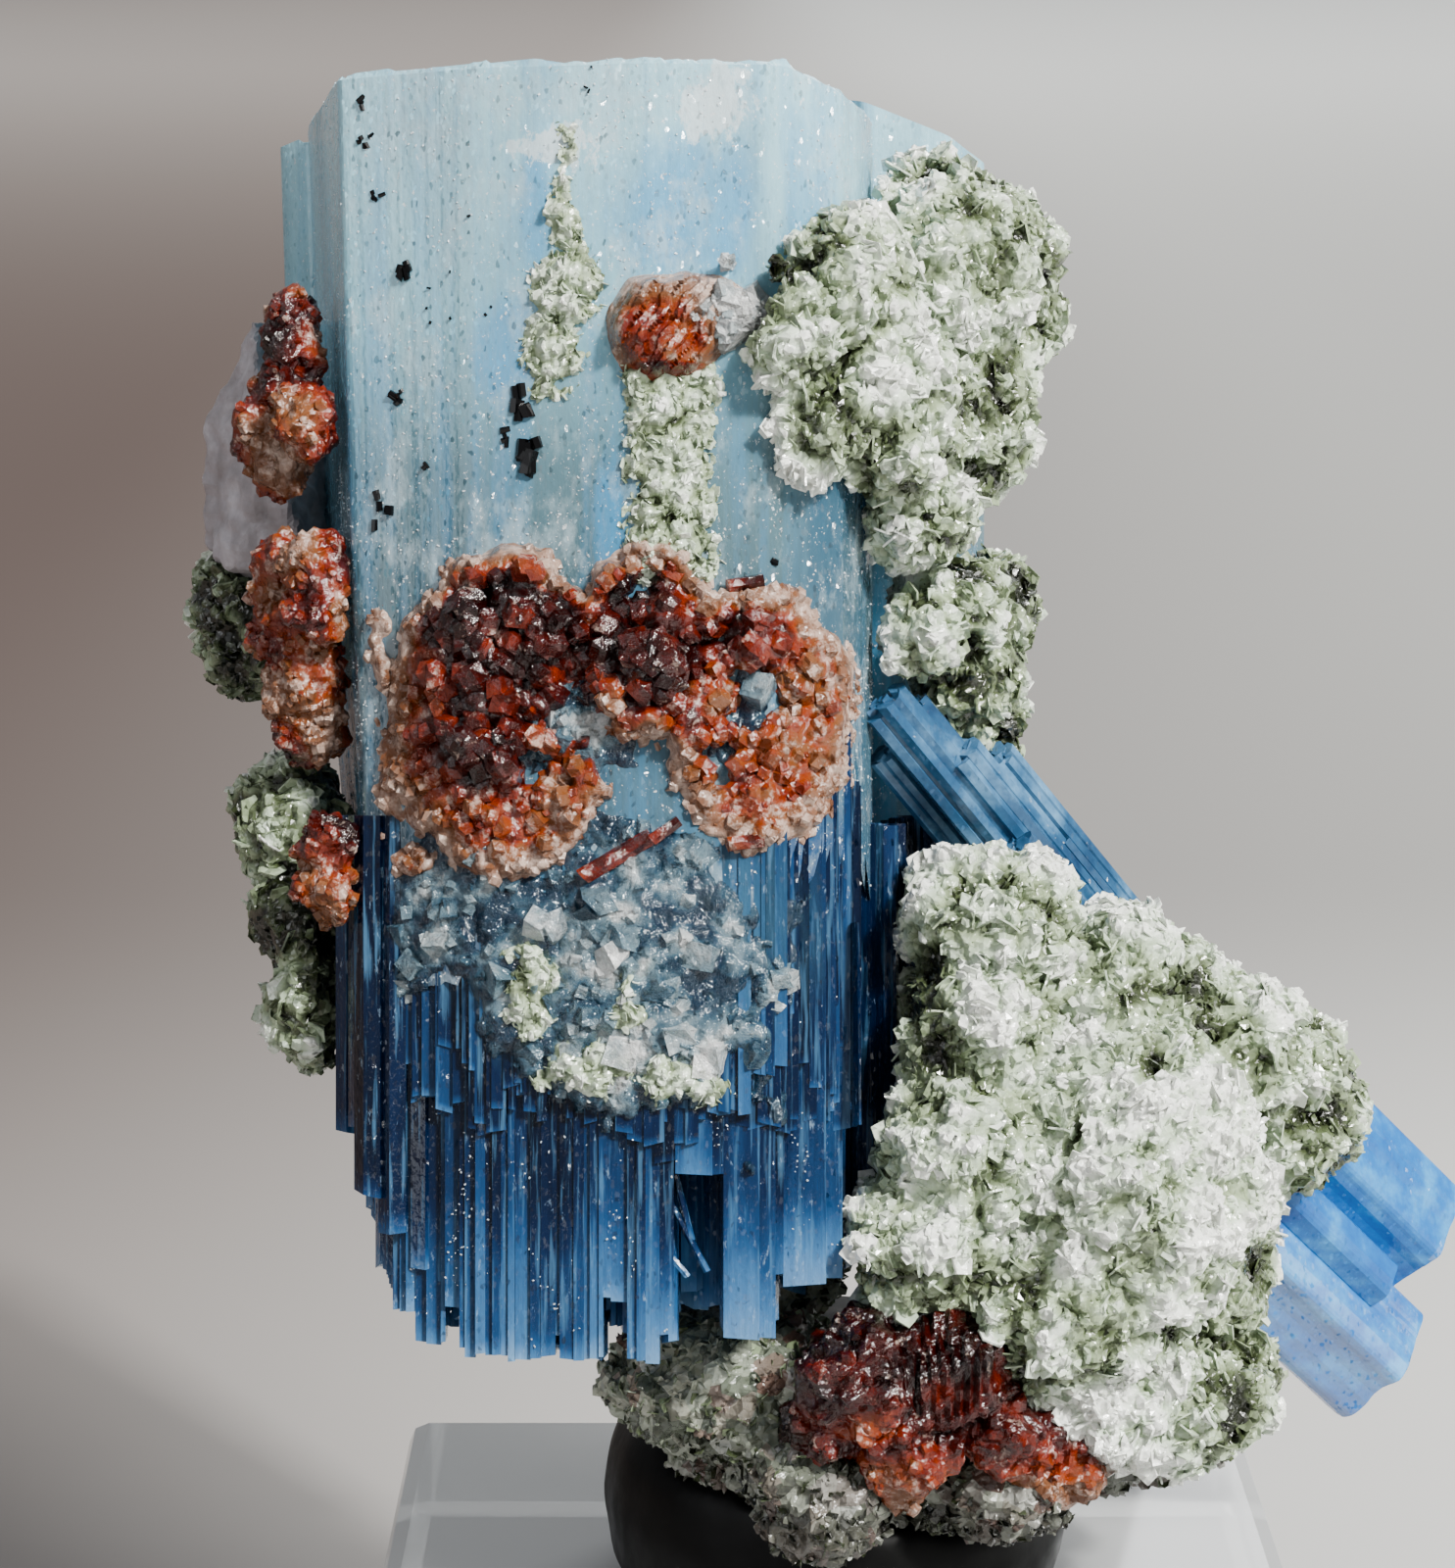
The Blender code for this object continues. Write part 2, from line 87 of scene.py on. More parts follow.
area_light("key light", (1900, -1700, 2400), 1300, 215, (1.0, 0.985, 0.95))
area_light("sparkle light", (1700, -2000, 2300), 240, 190, (1.0, 0.985, 0.95))
area_light("soft fill", (-2600, -2200, 1000), 2200, 30, (0.93, 0.96, 1.0))
area_light("back light", (1200, 2400, 2400), 2600, 90, (0.96, 0.98, 1.0))

studio = bpy.data.worlds.new("studio")
studio.use_nodes = True
studio.node_tree.nodes["Background"].inputs["Color"].default_value = (0.95, 0.95, 0.97, 1)
studio.node_tree.nodes["Background"].inputs["Strength"].default_value = 0.32
bpy.context.scene.world = studio


# The floor: one wide card, matt and pale. It is painted darker to the left, where less of the light reaches,
# and has no edge in view.
def linear(colour):
    """The linear value of an sRGB hex colour."""
    channels = [int(colour[i : i + 2], 16) / 255 for i in (1, 3, 5)]
    return (*[c / 12.92 if c <= 0.04045 else ((c + 0.055) / 1.055) ** 2.4 for c in channels], 1)


def add_node(tree, kind, inputs=None, stops=(), **settings):
    """A node with its settings, its inputs set or linked, and a colour ramp's (position, value) stops."""
    node = tree.nodes.new(kind)
    for name, value in settings.items():
        setattr(node, name, value)
    for name, value in (inputs or {}).items():
        if isinstance(value, bpy.types.NodeSocket):
            tree.links.new(value, node.inputs[name])
        else:
            a_colour = isinstance(value, str) and value.startswith("#")
            node.inputs[name].default_value = linear(value) if a_colour else value
    while stops and len(node.color_ramp.elements) < len(stops):
        node.color_ramp.elements.new(0.5)
    for index, (position, value) in enumerate(stops):
        node.color_ramp.elements[index].position = position
        node.color_ramp.elements[index].color = linear(value) if isinstance(value, str) else (*[value] * 3, 1)
    return node


def finish(name, **plain):
    """A material, its node tree and its shader, with plain values set on the shader's sockets."""
    material = bpy.data.materials.new(name)
    material.use_nodes = True
    tree = material.node_tree
    shader = tree.nodes["Principled BSDF"]
    for socket, value in plain.items():
        value = linear(value) if socket == "Base_Color" else value
        shader.inputs[socket.replace("_", " ")].default_value = value
    return material, tree, shader


FLOOR_SIDE = 6.0
floor_paint, tree, shader = finish("matt pale card", Roughness=0.9, Specular_IOR_Level=0.0)
coords = add_node(tree, "ShaderNodeTexCoord")
spot = add_node(tree, "ShaderNodeSeparateXYZ", {0: coords.outputs["Object"]}).outputs
shares = []
for axis, low, high in (("X", -0.07, 0.08), ("Y", 0.03, 0.13), ("Y", 0.25, 1.4)):
    span = {"Value": spot[axis], "From Min": low, "From Max": high}
    shares.append(add_node(tree, "ShaderNodeMapRange", span, interpolation_type="SMOOTHSTEP").outputs[0])
# Painted shade: each band's colours at the left and at the right, near the specimen, behind it and far off
bands = [
    add_node(tree, "ShaderNodeValToRGB", {"Fac": shares[0]}, ((0.0, left), (1.0, right))).outputs[0]
    for left, right in (("#5e5551", "#d0d1cf"), ("#4c4340", "#91918f"), ("#8a8480", "#bcbdbb"))
]
painted = bands[0]
for share, band in zip(shares[1:], bands[1:]):
    painted = add_node(tree, "ShaderNodeMix", {0: share, 6: painted, 7: band}, data_type="RGBA").outputs[2]
tree.links.new(painted, shader.inputs["Base Color"])
bpy.ops.mesh.primitive_plane_add(size=FLOOR_SIDE)
floor = bpy.context.object
floor.name = "floor"
floor.data.materials.append(floor_paint)


# The display base: a square block sawn from clear cast acrylic, with flame-polished edges. It is see-through
# and faintly grey at its edges. It stays as the solid it is.
acrylic = finish(
    "cast acrylic, polished", Base_Color="#fbfdfd", Roughness=0.04, IOR=1.49, Transmission_Weight=0.65
)[0]
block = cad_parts["display_base"]
block.data.materials.clear()
block.data.materials.append(acrylic)


# The putty: a ball of black mounting putty, pressed by hand between the block and the specimen's foot. It is
# smooth and slightly greasy, with shallow finger marks.
def linked(name, bm):
    """An object made from a bmesh, in the scene."""
    mesh = bpy.data.meshes.new(name)
    bm.to_mesh(mesh)
    bm.free()
    obj = bpy.data.objects.new(name, mesh)
    bpy.context.scene.collection.objects.link(obj)
    return obj


def fine_skin(name, node, voxel_mm, swell_mm):
    """A fine closed mesh round a copy of a solid, swollen to meet what it touches."""
    bm = bmesh.new()
    bm.from_mesh(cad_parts[node].data)
    bmesh.ops.remove_doubles(bm, verts=bm.verts, dist=1e-6)
    bm.normal_update()
    for vert in bm.verts:
        vert.co += vert.normal * swell_mm * MM
    obj = linked(name, bm)
    remesh = obj.modifiers.new("fine", "REMESH")
    remesh.mode = "VOXEL"
    remesh.voxel_size = voxel_mm * MM
    return baked(obj)


def baked(obj):
    """The object with its modifiers made into plain mesh."""
    graph = bpy.context.evaluated_depsgraph_get()
    mesh = bpy.data.meshes.new_from_object(obj.evaluated_get(graph))
    mesh.name = obj.name
    obj.modifiers.clear()
    obj.data = mesh
    return obj


def move_points(obj, shift):
    """Every point moved along its normal by shift(point in the specimen's frame), in millimetres."""
    normals = [vert.normal.copy() for vert in obj.data.vertices]
    for vert, normal in zip(obj.data.vertices, normals):
        vert.co += normal * shift(to_specimen @ vert.co) * MM
    obj.data.update()


def settle(obj, slot, material, *nodes):
    """The piece in its finish, riding on the one body and standing for its solids."""
    obj.data.materials.clear()
    obj.data.materials.append(material)
    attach(obj, "root")
    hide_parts(*nodes)


putty, tree, shader = finish("oil-based mounting putty", Base_Color="#020202", Specular_IOR_Level=0.12)
coords = add_node(tree, "ShaderNodeTexCoord")
grime = add_node(
    tree, "ShaderNodeTexNoise", {"Vector": coords.outputs["Object"], "Scale": 0.9 / MM, "Detail": 4.0}
).outputs["Fac"]
sheen = add_node(tree, "ShaderNodeValToRGB", {"Fac": grime}, ((0.3, 0.34), (0.7, 0.55)))
tree.links.new(sheen.outputs[0], shader.inputs["Roughness"])
press = add_node(tree, "ShaderNodeBump", {"Height": grime, "Strength": 0.25, "Distance": 0.1 * MM})
tree.links.new(press.outputs["Normal"], shader.inputs["Normal"])
ball = fine_skin("mounting_putty", "putty_mount", 0.25, 0.12)
smooth = ball.modifiers.new("smooth", "SMOOTH")
smooth.iterations = 12
baked(ball)
move_points(ball, lambda p: 0.16 * noise.noise(p / 2.4) + 0.15)
ball.data.shade_smooth()
settle(ball, "putty", putty, "putty_mount")


# The main crystal: beryl, coloured sea green to blue by traces of iron. Above it is one stout prism, cloudy
# with fine tubes and etched so that its sides are frosted and finely ribbed along its length. Below, where
# it grew apart, it is a bundle of glassy rods, deep blue in their depth, with a painted glow of light at
# their broken ends.
CRYSTAL_AXIS = -4.1
CRYSTAL_TOP = 18.0
CRYSTAL_FRONT = -7.2
SKIN_FOOT = -3.6
# The finest real grooves are thinner than a pixel. They are drawn this many millimetres apart, which shows.
RIB_SPACING = 0.11
LEVEL_SPACING = 0.5
TOP_BEVEL = 0.12
CORNER_ROUNDING = 5
COLUMN_OUTLINE = (
    (-7.5, 3.9),
    (-5.8, -4.7),
    (-2.5, -6.4),
    (2.1, CRYSTAL_FRONT),
    (5.1, -6.95),
    (7.0, -5.6),
    (7.8, -3.0),
    (8.0, 1.5),
    (7.1, 5.0),
    (3.4, 7.8),
    (-1.4, 8.4),
    (-5.6, 7.4),
)
FRONT_CORNERS = 7


def between(value, *stops):
    """The value read off a line through (place, value) stops, and level past its ends."""
    if value <= stops[0][0]:
        return stops[0][1]
    for (low, first), (high, second) in zip(stops, stops[1:]):
        if value <= high:
            return first + (second - first) * (value - low) / (high - low)
    return stops[-1][1]


def left_share(up):
    """The main crystal's left side steps in as it goes down."""
    return between(up, (-20.0, 0.78), (-3.0, 0.84), (5.0, 0.93), (CRYSTAL_TOP, 1.0))


def front_depth(across, up):
    """How deep the main crystal's front lies."""
    front = COLUMN_OUTLINE[:FRONT_CORNERS]
    share = left_share(up)
    return between(across, *[(CRYSTAL_AXIS + x * (share if x < 0 else 1.0), y) for x, y in front])


def along_outline(outline, spacing):
    """Points evenly along a closed outline, with its corners slightly rounded."""
    corners = [Vector(corner) for corner in outline]
    points = []
    for first, second in zip(corners, corners[1:] + corners[:1]):
        count = max(2, round((second - first).length / spacing))
        points += [first.lerp(second, step / count) for step in range(count)]
    for _ in range(CORNER_ROUNDING):
        before, after = points[-1:] + points[:-1], points[1:] + points[:1]
        points = [(a + 2 * b + c) / 4 for a, b, c in zip(before, points, after)]
    return points


def ribbed_prism(outline, spacing, levels, place):
    """A closed prism ribbed along its length. place(point, way, arc, level) gives where a point goes."""
    ring_points = along_outline(outline, spacing)
    count = len(ring_points)
    ways = []
    for before, after in zip(ring_points[-1:] + ring_points[:-1], ring_points[1:] + ring_points[:1]):
        along = (after - before).normalized()
        ways.append(Vector((along.y, -along.x)))
    bm = bmesh.new()
    rings = []
    for level in levels:
        ring = []
        for index, (point, way) in enumerate(zip(ring_points, ways)):
            ring.append(bm.verts.new(place(point, way, index * spacing, level)))
        rings.append(ring)
    for upper, lower in zip(rings, rings[1:]):
        for i in range(count):
            j = (i + 1) % count
            bm.faces.new((upper[i], upper[j], lower[j], lower[i]))
    bm.faces.new(reversed(rings[0]))
    bm.faces.new(rings[-1])
    bmesh.ops.recalc_face_normals(bm, faces=bm.faces)
    return bm


def made(name, bm, shade=None):
    """An object from a bmesh in the specimen's frame and in millimetres, with its shade kept by point."""
    if shade:
        layer = bm.verts.layers.float.new("shade")
        for vert in bm.verts:
            vert[layer] = shade(vert.co)
    bmesh.ops.transform(bm, matrix=in_metres @ stand, verts=bm.verts)
    return linked(name, bm)


def ribs(arc, up, seed):
    """How far a ribbed prism face stands out: broad steps, and narrow grooves that come and go."""
    broad = noise.noise(Vector((arc / 1.6, up / 40, seed)))
    narrow = noise.noise(Vector((arc / 0.35, up / 16, seed + 5)))
    finest = noise.noise(Vector((arc / 0.16, up / 9, seed + 9)))
    return 0.07 * broad + 0.012 * narrow + 0.006 * finest


def skin_foot(across, deep):
    """Where the cloudy upper part gives way to clear rods: lowest on the left, highest on the right."""
    if deep > -3:
        return SKIN_FOOT
    return between(across, (-6.0, -5.0), (-3.0, -4.2), (0.4, -3.6), (1.4, -1.6))


def place_on_column(point, way, arc, level):
    across, deep = point
    across *= left_share(level) if across < 0 else 1.0
    at_top = level > CRYSTAL_TOP - TOP_BEVEL / 2
    chips = 0.16 * noise.noise(Vector((arc / 0.7, 3, 1))) + 0.08 * noise.noise(Vector((arc / 0.22, 7, 1)))
    from_top = (CRYSTAL_TOP - level) / (CRYSTAL_TOP - SKIN_FOOT)
    foot = skin_foot(CRYSTAL_AXIS + across, deep)
    torn = 1.3 * noise.noise(Vector((arc / 1.3, 11, 1))) + 0.8 * noise.noise(Vector((arc / 0.35, 5, 2)))
    up = CRYSTAL_TOP + (foot + torn * from_top**6 - CRYSTAL_TOP) * from_top
    top_drop = 0.35 * max(0.0, CRYSTAL_AXIS + across - 1.5) * (1 - from_top)
    out = ribs(arc, up, 2.0) - TOP_BEVEL * at_top
    return (CRYSTAL_AXIS + across + way.x * out, deep + way.y * out, up - top_drop + chips * at_top)


level_count = round((CRYSTAL_TOP - SKIN_FOOT) / LEVEL_SPACING)
column_levels = [CRYSTAL_TOP, CRYSTAL_TOP - TOP_BEVEL]
column_levels += [CRYSTAL_TOP - step * LEVEL_SPACING for step in range(1, level_count + 1)]


def frost(point):
    """Where the upper part is etched white, from 0 to 1."""
    patches = noise.fractal(point / 1.8, 0.8, 2.0, 4)
    return min(1.0, max(0.05, 0.3 + 1.6 * patches)) if point.y < -2 else 0.1


column_bm = ribbed_prism(COLUMN_OUTLINE, RIB_SPACING, column_levels, place_on_column)
column = made("aquamarine_column", column_bm, frost)

SIDE_FOOT, SIDE_HEAD = Vector((-10.6, 5.4, 2.0)), Vector((-11.1, 5.6, 17.7))


def hexagon(radius=1.0, turn=0.0):
    """The six corners of a prism's section."""
    angles = [math.tau * side / 6 + turn for side in range(6)]
    return [(math.cos(angle) * radius, math.sin(angle) * radius) for angle in angles]


def place_on_side(point, way, arc, level):
    centre = SIDE_FOOT.lerp(SIDE_HEAD, level)
    across, deep = centre.xy + point + way * 0.6 * ribs(arc, centre.z, 50.0)
    return (across, deep, centre.z + (level == 1.0) * 0.15 * noise.noise(Vector((arc / 0.5, 2, 6))))


side_levels = [1 - step / 32 for step in range(33)]
side_bm = ribbed_prism(hexagon(1.45, 0.2), RIB_SPACING, side_levels, place_on_side)
side_crystal = made("aquamarine_side", side_bm)


def specimen_coordinates(tree):
    """Object coordinates turned into the specimen's frame, in millimetres."""
    coords = add_node(tree, "ShaderNodeTexCoord")
    turn = stand.inverted()
    return add_node(
        tree,
        "ShaderNodeMapping",
        {
            "Vector": coords.outputs["Object"],
            "Location": turn.translation,
            "Rotation": turn.to_euler(),
            "Scale": (1 / MM, 1 / MM, 1 / MM),
        },
    ).outputs["Vector"]


def grain(tree, vector, per_mm, stretch=(1, 1, 1), **values):
    """A noise pattern with per_mm cycles to the millimetre, drawn out where stretch is under 1."""
    drawn = add_node(tree, "ShaderNodeVectorMath", {0: vector, 1: stretch}, operation="MULTIPLY").outputs[0]
    return add_node(tree, "ShaderNodeTexNoise", {"Vector": drawn, "Scale": per_mm, **values}).outputs["Fac"]


def laid_over(tree, under, over, pattern, *stops):
    """One colour laid over another where a pattern is strong, by (pattern's value, share) stops."""
    share = add_node(tree, "ShaderNodeValToRGB", {"Fac": pattern}, stops).outputs[0]
    return add_node(tree, "ShaderNodeMix", {0: share, 6: under, 7: over}, data_type="RGBA").outputs[2]


def height_of(tree, vector, low, high):
    """How far up the specimen a point is, from 0 at low to 1 at high."""
    z = add_node(tree, "ShaderNodeSeparateXYZ", {0: vector}).outputs["Z"]
    span = {"Value": z, "From Min": low, "From Max": high}
    return add_node(tree, "ShaderNodeMapRange", span).outputs["Result"]


def patch(tree, vector, centre, radii, wobble):
    """1 in the middle of a patch, falling to 0 at its edge, with the edge broken up by a pattern."""
    away = add_node(tree, "ShaderNodeVectorMath", {0: vector, 1: centre}, operation="SUBTRACT").outputs[0]
    by_radius = {0: away, 1: tuple(1 / radius for radius in radii)}
    scaled = add_node(tree, "ShaderNodeVectorMath", by_radius, operation="MULTIPLY").outputs[0]
    reach = add_node(tree, "ShaderNodeVectorMath", {0: scaled}, operation="LENGTH").outputs["Value"]
    ragged = add_node(tree, "ShaderNodeMath", {0: wobble, 1: 1.4, 2: reach}, operation="MULTIPLY_ADD")
    edge = {"Value": ragged.outputs[0], "From Min": 1.9, "From Max": 1.3}
    return add_node(tree, "ShaderNodeMapRange", edge).outputs["Result"]


def rough_skin(tree, vector, shader, height, strength, distance_mm, per_mm, tilt, share=1.0):
    """Bumps from a pattern, and a share of small cells turned a little another way, so that facets glint."""
    cell = add_node(tree, "ShaderNodeTexVoronoi", {"Vector": vector, "Scale": per_mm}).outputs["Color"]
    pick = add_node(tree, "ShaderNodeSeparateXYZ", {0: cell}).outputs["Y"]
    picked = add_node(tree, "ShaderNodeMath", {0: pick, 1: share}, operation="LESS_THAN").outputs[0]
    turn = add_node(tree, "ShaderNodeMath", {0: picked, 1: tilt}, operation="MULTIPLY").outputs[0]
    halves = (0.5, 0.5, 0.5)
    centred = add_node(tree, "ShaderNodeVectorMath", {0: cell, 1: halves}, operation="SUBTRACT").outputs[0]
    normal = add_node(tree, "ShaderNodeNewGeometry").outputs["Normal"]
    sum_of = {0: centred, 1: turn, 2: normal}
    turned = add_node(tree, "ShaderNodeVectorMath", sum_of, operation="MULTIPLY_ADD").outputs[0]
    facing = add_node(tree, "ShaderNodeVectorMath", {0: turned}, operation="NORMALIZE").outputs[0]
    relief = {"Height": height, "Strength": strength, "Distance": distance_mm * MM, "Normal": facing}
    bump = add_node(tree, "ShaderNodeBump", relief)
    tree.links.new(bump.outputs["Normal"], shader.inputs["Normal"])


def ribbing(tree, vector, shader, strength, distance_mm, groove_share, tilt):
    """Fine grooves along the crystal's length with small pits between them, and small facets."""
    drawn_out = (1, 1, 0.6)
    groove = grain(tree, vector, 4.5, (1, 1, 0.03), Detail=4.0, Roughness=0.6)
    pits = grain(tree, vector, 5.5, drawn_out, Detail=3.0)
    both = add_node(tree, "ShaderNodeMath", {0: groove, 1: groove_share, 2: pits}, operation="MULTIPLY_ADD")
    cells = add_node(tree, "ShaderNodeVectorMath", {0: vector, 1: drawn_out}, operation="MULTIPLY").outputs[0]
    rough_skin(tree, cells, shader, both.outputs[0], strength, distance_mm, 12.0, tilt, 0.14)


BERYL_IOR = 1.577
frosted_beryl, tree, shader = finish(
    "aquamarine, etched and cloudy", IOR=BERYL_IOR, Transmission_Weight=0.3
)
vector = specimen_coordinates(tree)
# Deep blue low, pale high: the crystal's own zoning, with painted light brightening the top further
zoned_and_lit_by_height = add_node(
    tree,
    "ShaderNodeValToRGB",
    {"Fac": height_of(tree, vector, -6, 18)},
    (
        (0.0, "#16355c"),
        (0.1, "#2d5475"),
        (0.2, "#3f6377"),
        (0.4, "#3b5660"),
        (0.58, "#527682"),
        (0.75, "#8ec6d8"),
        (1.0, "#b4e8f8"),
    ),
).outputs[0]
streak = grain(tree, vector, 1.3, (1, 1, 0.07), Detail=5.0, Roughness=0.62)
blue = "#3f9ad0"
coloured = laid_over(tree, zoned_and_lit_by_height, blue, streak, (0.46, 0.0), (0.66, 0.4))
wobble = grain(tree, vector, 1.1, (1, 1, 0.3), Detail=5.0, Roughness=0.6)
# Clearer and bluer windows, a grey edge at the right and a deep blue foot: centre, radii, share and colour
for centre, radii, share, colour in (
    ((-4.8, -6.9, 14.2), (0.5, 2.0, 1.5), 0.65, blue),
    ((-0.9, -7.2, 14.2), (1.9, 2.0, 1.9), 0.65, blue),
    ((-5.4, -6.9, 10.9), (1.0, 2.0, 1.4), 0.65, blue),
    ((2.2, -7.0, 12.0), (0.9, 2.0, 5.0), 0.65, blue),
    ((-2.9, -7.2, 6.4), (0.4, 2.0, 2.0), 0.65, blue),
    ((2.9, -6.5, 4.5), (1.3, 3.0, 7.0), 0.9, "#2f566c"),
    ((2.0, -6.6, -2.6), (2.4, 3.0, 2.8), 0.9, "#184471"),
):
    window = patch(tree, vector, centre, radii, wobble)
    coloured = laid_over(tree, coloured, colour, window, (0.0, 0.0), (1.0, share))
shade = add_node(tree, "ShaderNodeAttribute", attribute_name="shade").outputs["Fac"]
cloud = grain(tree, vector, 1.6, (1, 1, 0.6), Detail=6.0, Roughness=0.7)
etching = {0: shade, 1: 0.22, 2: cloud}
etched = add_node(tree, "ShaderNodeMath", etching, operation="MULTIPLY_ADD").outputs[0]
clouded = laid_over(tree, coloured, "#c9e0e8", etched, (0.6, 0.0), (0.8, 0.45))
ragged = add_node(tree, "ShaderNodeValToRGB", {"Fac": cloud}, ((0.35, 0.0), (0.65, 1.0))).outputs[0]
for centre, radii in (((-0.2, -7.2, 17.0), (0.9, 2.0, 0.8)), ((-4.2, -6.9, 15.9), (1.1, 2.0, 0.5))):
    torn = patch(tree, vector, centre, radii, ragged)
    clouded = laid_over(tree, clouded, "#e9faff", torn, (0.3, 0.0), (0.7, 0.8))
mottle = grain(tree, vector, 3.4, (1, 1, 0.35), Detail=5.0, Roughness=0.75)
mottled = laid_over(tree, clouded, "#5c8799", mottle, (0.36, 0.2), (0.5, 0.0))
# White specks: partly tiny etch pits, partly painted glints
speck = grain(tree, vector, 8.0, (1, 1, 0.8), Detail=3.0, Roughness=0.75)
specked = laid_over(tree, mottled, "#ffffff", speck, (0.63, 0.0), (0.68, 0.8))
dull = grain(tree, vector, 0.5, (1, 1, 0.2), Detail=3.0)
dulled = laid_over(tree, specked, "#64797f", dull, (0.45, 0.0), (0.65, 0.3))
tree.links.new(dulled, shader.inputs["Base Color"])
gloss = add_node(tree, "ShaderNodeValToRGB", {"Fac": cloud}, ((0.35, 0.1), (0.65, 0.22)))
tree.links.new(gloss.outputs[0], shader.inputs["Roughness"])
ribbing(tree, vector, shader, 0.4, 0.06, 0.5, 1.2)
settle(column, "pale aquamarine", frosted_beryl, "aquamarine_main")
settle(side_crystal, "pale aquamarine", frosted_beryl, "aquamarine_main")

# The rods that it splits into below are thin prisms, many of them flat at the front
SIX_SIDED = hexagon()
FLAT_FRONTED = ((-1, 1), (-1, -0.85), (-0.9, -1), (0.9, -1), (1, -0.85), (1, 1))


def add_rod(bm, foot, head, half_wide, half_deep, picks, section=SIX_SIDED, painted_glow=0.6, slant=0.35):
    """A thin crystal with a slanting broken foot. A painted glow raises its shade there and fades upward."""
    layer = bm.verts.layers.float.get("shade") or bm.verts.layers.float.new("shade")
    foot, way = Vector(foot), Vector(head) - Vector(foot)
    length = way.length
    turned = way.to_track_quat("Z", "Y").to_matrix()
    spin = Matrix.Rotation(0.0 if section is FLAT_FRONTED else picks.uniform(0, math.tau), 2)
    tilt = picks.uniform(-slant, slant), picks.uniform(-slant, slant)
    own_shade = picks.uniform(0.0, 0.34)
    rings = []
    painted_glow_end = min(painted_glow, 0.9 * length)
    # The foot ring is lighter than the rest of the rod: a painted glow of light leaving the break
    for reach, tone in ((0.0, own_shade + 0.24), (painted_glow_end, own_shade), (length, own_shade)):
        ring = []
        for corner in section:
            x, y = spin @ Vector(corner)
            x, y = x * half_wide, y * half_deep
            drop = (x * tilt[0] + y * tilt[1]) * (reach < length)
            ring.append(bm.verts.new(foot + turned @ Vector((x, y, reach + drop))))
            ring[-1][layer] = tone
        rings.append(ring)
    for low, high in zip(rings, rings[1:]):
        for i in range(6):
            j = (i + 1) % 6
            bm.faces.new((low[i], low[j], high[j], high[i]))
    bm.faces.new(reversed(rings[0]))
    bm.faces.new(rings[-1])


# Left edge, right edge and foot of each group of rods along the front
FRONT_RODS = (
    (-8.5, -7.9, -13.4),
    (-7.9, -6.6, -14.2),
    (-6.6, -5.5, -14.35),
    (-5.5, -4.3, -14.45),
    (-4.3, -3.1, -14.4),
    (-3.1, -2.5, -13.9),
    (-2.5, -1.3, -14.45),
    (-1.3, -0.1, -9.8),
    (-0.1, 1.2, -13.9),
    (1.2, 1.4, -12.3),
    (1.4, 2.9, -12.6),
)
ROD_HEAD = -0.8
# The rods go straight down from the crystal's front as it is at this height
RODS_BEGIN = -3


def rod_head(across):
    """The rods run up into the column. Their upper ends differ most at the crystal's two edges."""
    outer = between(across, (-8.0, 1.0), (-7.0, 0.0), (0.8, 0.0), (1.6, 1.0))
    return ROD_HEAD + outer * (1.2 + 2.6 * noise.noise(Vector((across / 0.3, 9, 4))))


picks = random.Random(3)
rods = bmesh.new()
for left, right, foot in FRONT_RODS:
    # The groups on the right are a few wide rods, and the rest are many narrow ones
    narrowest = between(left, (-4.4, 0.1), (-1.4, 0.25), (-0.2, 0.6))
    widest = between(left, (-2.6, 0.42), (-0.2, 1.4))
    longest_painted_glow = 3.0 if left > -2.6 else 1.0
    across = left
    while across < right - 0.05:
        wide = min(picks.uniform(narrowest, widest), right - across)
        centre = across + wide / 2
        front = front_depth(centre, RODS_BEGIN) + 0.3 + abs(picks.gauss(0, 0.07))
        end = foot + abs(picks.gauss(0, 0.06)) + (picks.random() < 0.06) * picks.uniform(0.3, 1.2)
        add_rod(
            rods,
            (centre, front + 0.5, end),
            (centre, front + 0.5, rod_head(centre)),
            wide / 2,
            0.5,
            picks,
            FLAT_FRONTED,
            picks.uniform(0.3, 1.0) * longest_painted_glow,
            0.12,
        )
        across += wide
    # A second layer behind closes the slits between them
    for step in range(4):
        centre = left + (right - left) * (step + 0.5) / 4
        deep = front_depth(centre, RODS_BEGIN) + 1.7
        end = foot + picks.uniform(0.1, 0.7)
        add_rod(rods, (centre, deep, end), (centre, deep, ROD_HEAD), (right - left) / 5, 0.6, picks)
# Thin plates lie on the front rods and break off in steps, whose broken edges catch the light
for step in range(130):
    across = picks.uniform(-8.7, 3.1)
    lowest = between(across, (-8.5, -8.0), (-6.0, -8.8), (-4.0, -8.4), (-2.0, -9.6), (0.5, -8.6), (3.0, -9.0))
    foot = lowest + abs(picks.gauss(0, 1.6))
    half = picks.uniform(0.06, 0.3)
    front = front_depth(across, RODS_BEGIN) + picks.uniform(0.1, 0.28)
    add_rod(
        rods,
        (across, front + 0.25, min(foot, -2.5)),
        (across, front + 0.25, rod_head(across)),
        half,
        0.25,
        picks,
        FLAT_FRONTED,
        0.22,
        0.3,
    )
# A few paler ones come right out through the rubble
for left, right, foot in ((-4.5, -3.8, -7.0), (-6.2, -5.8, -6.3), (-0.5, 0.4, -8.2), (0.5, 1.2, -7.4)):
    across = left
    while across < right:
        half = picks.uniform(0.05, 0.16)
        front = front_depth(across, RODS_BEGIN) + picks.uniform(0.1, 0.3)
        end = foot + picks.uniform(0.0, 0.5)
        ends = (across + half, front + 0.1, end), (across + half, front + 0.1, ROD_HEAD)
        add_rod(rods, *ends, half, 0.3, picks, FLAT_FRONTED, picks.uniform(1.5, 6.5), 0.3)
        across += 2 * half
# A sliver stands free at the right edge
add_rod(rods, (3.25, -5.7, -8.6), (3.2, -5.4, -3.5), 0.1, 0.4, picks)
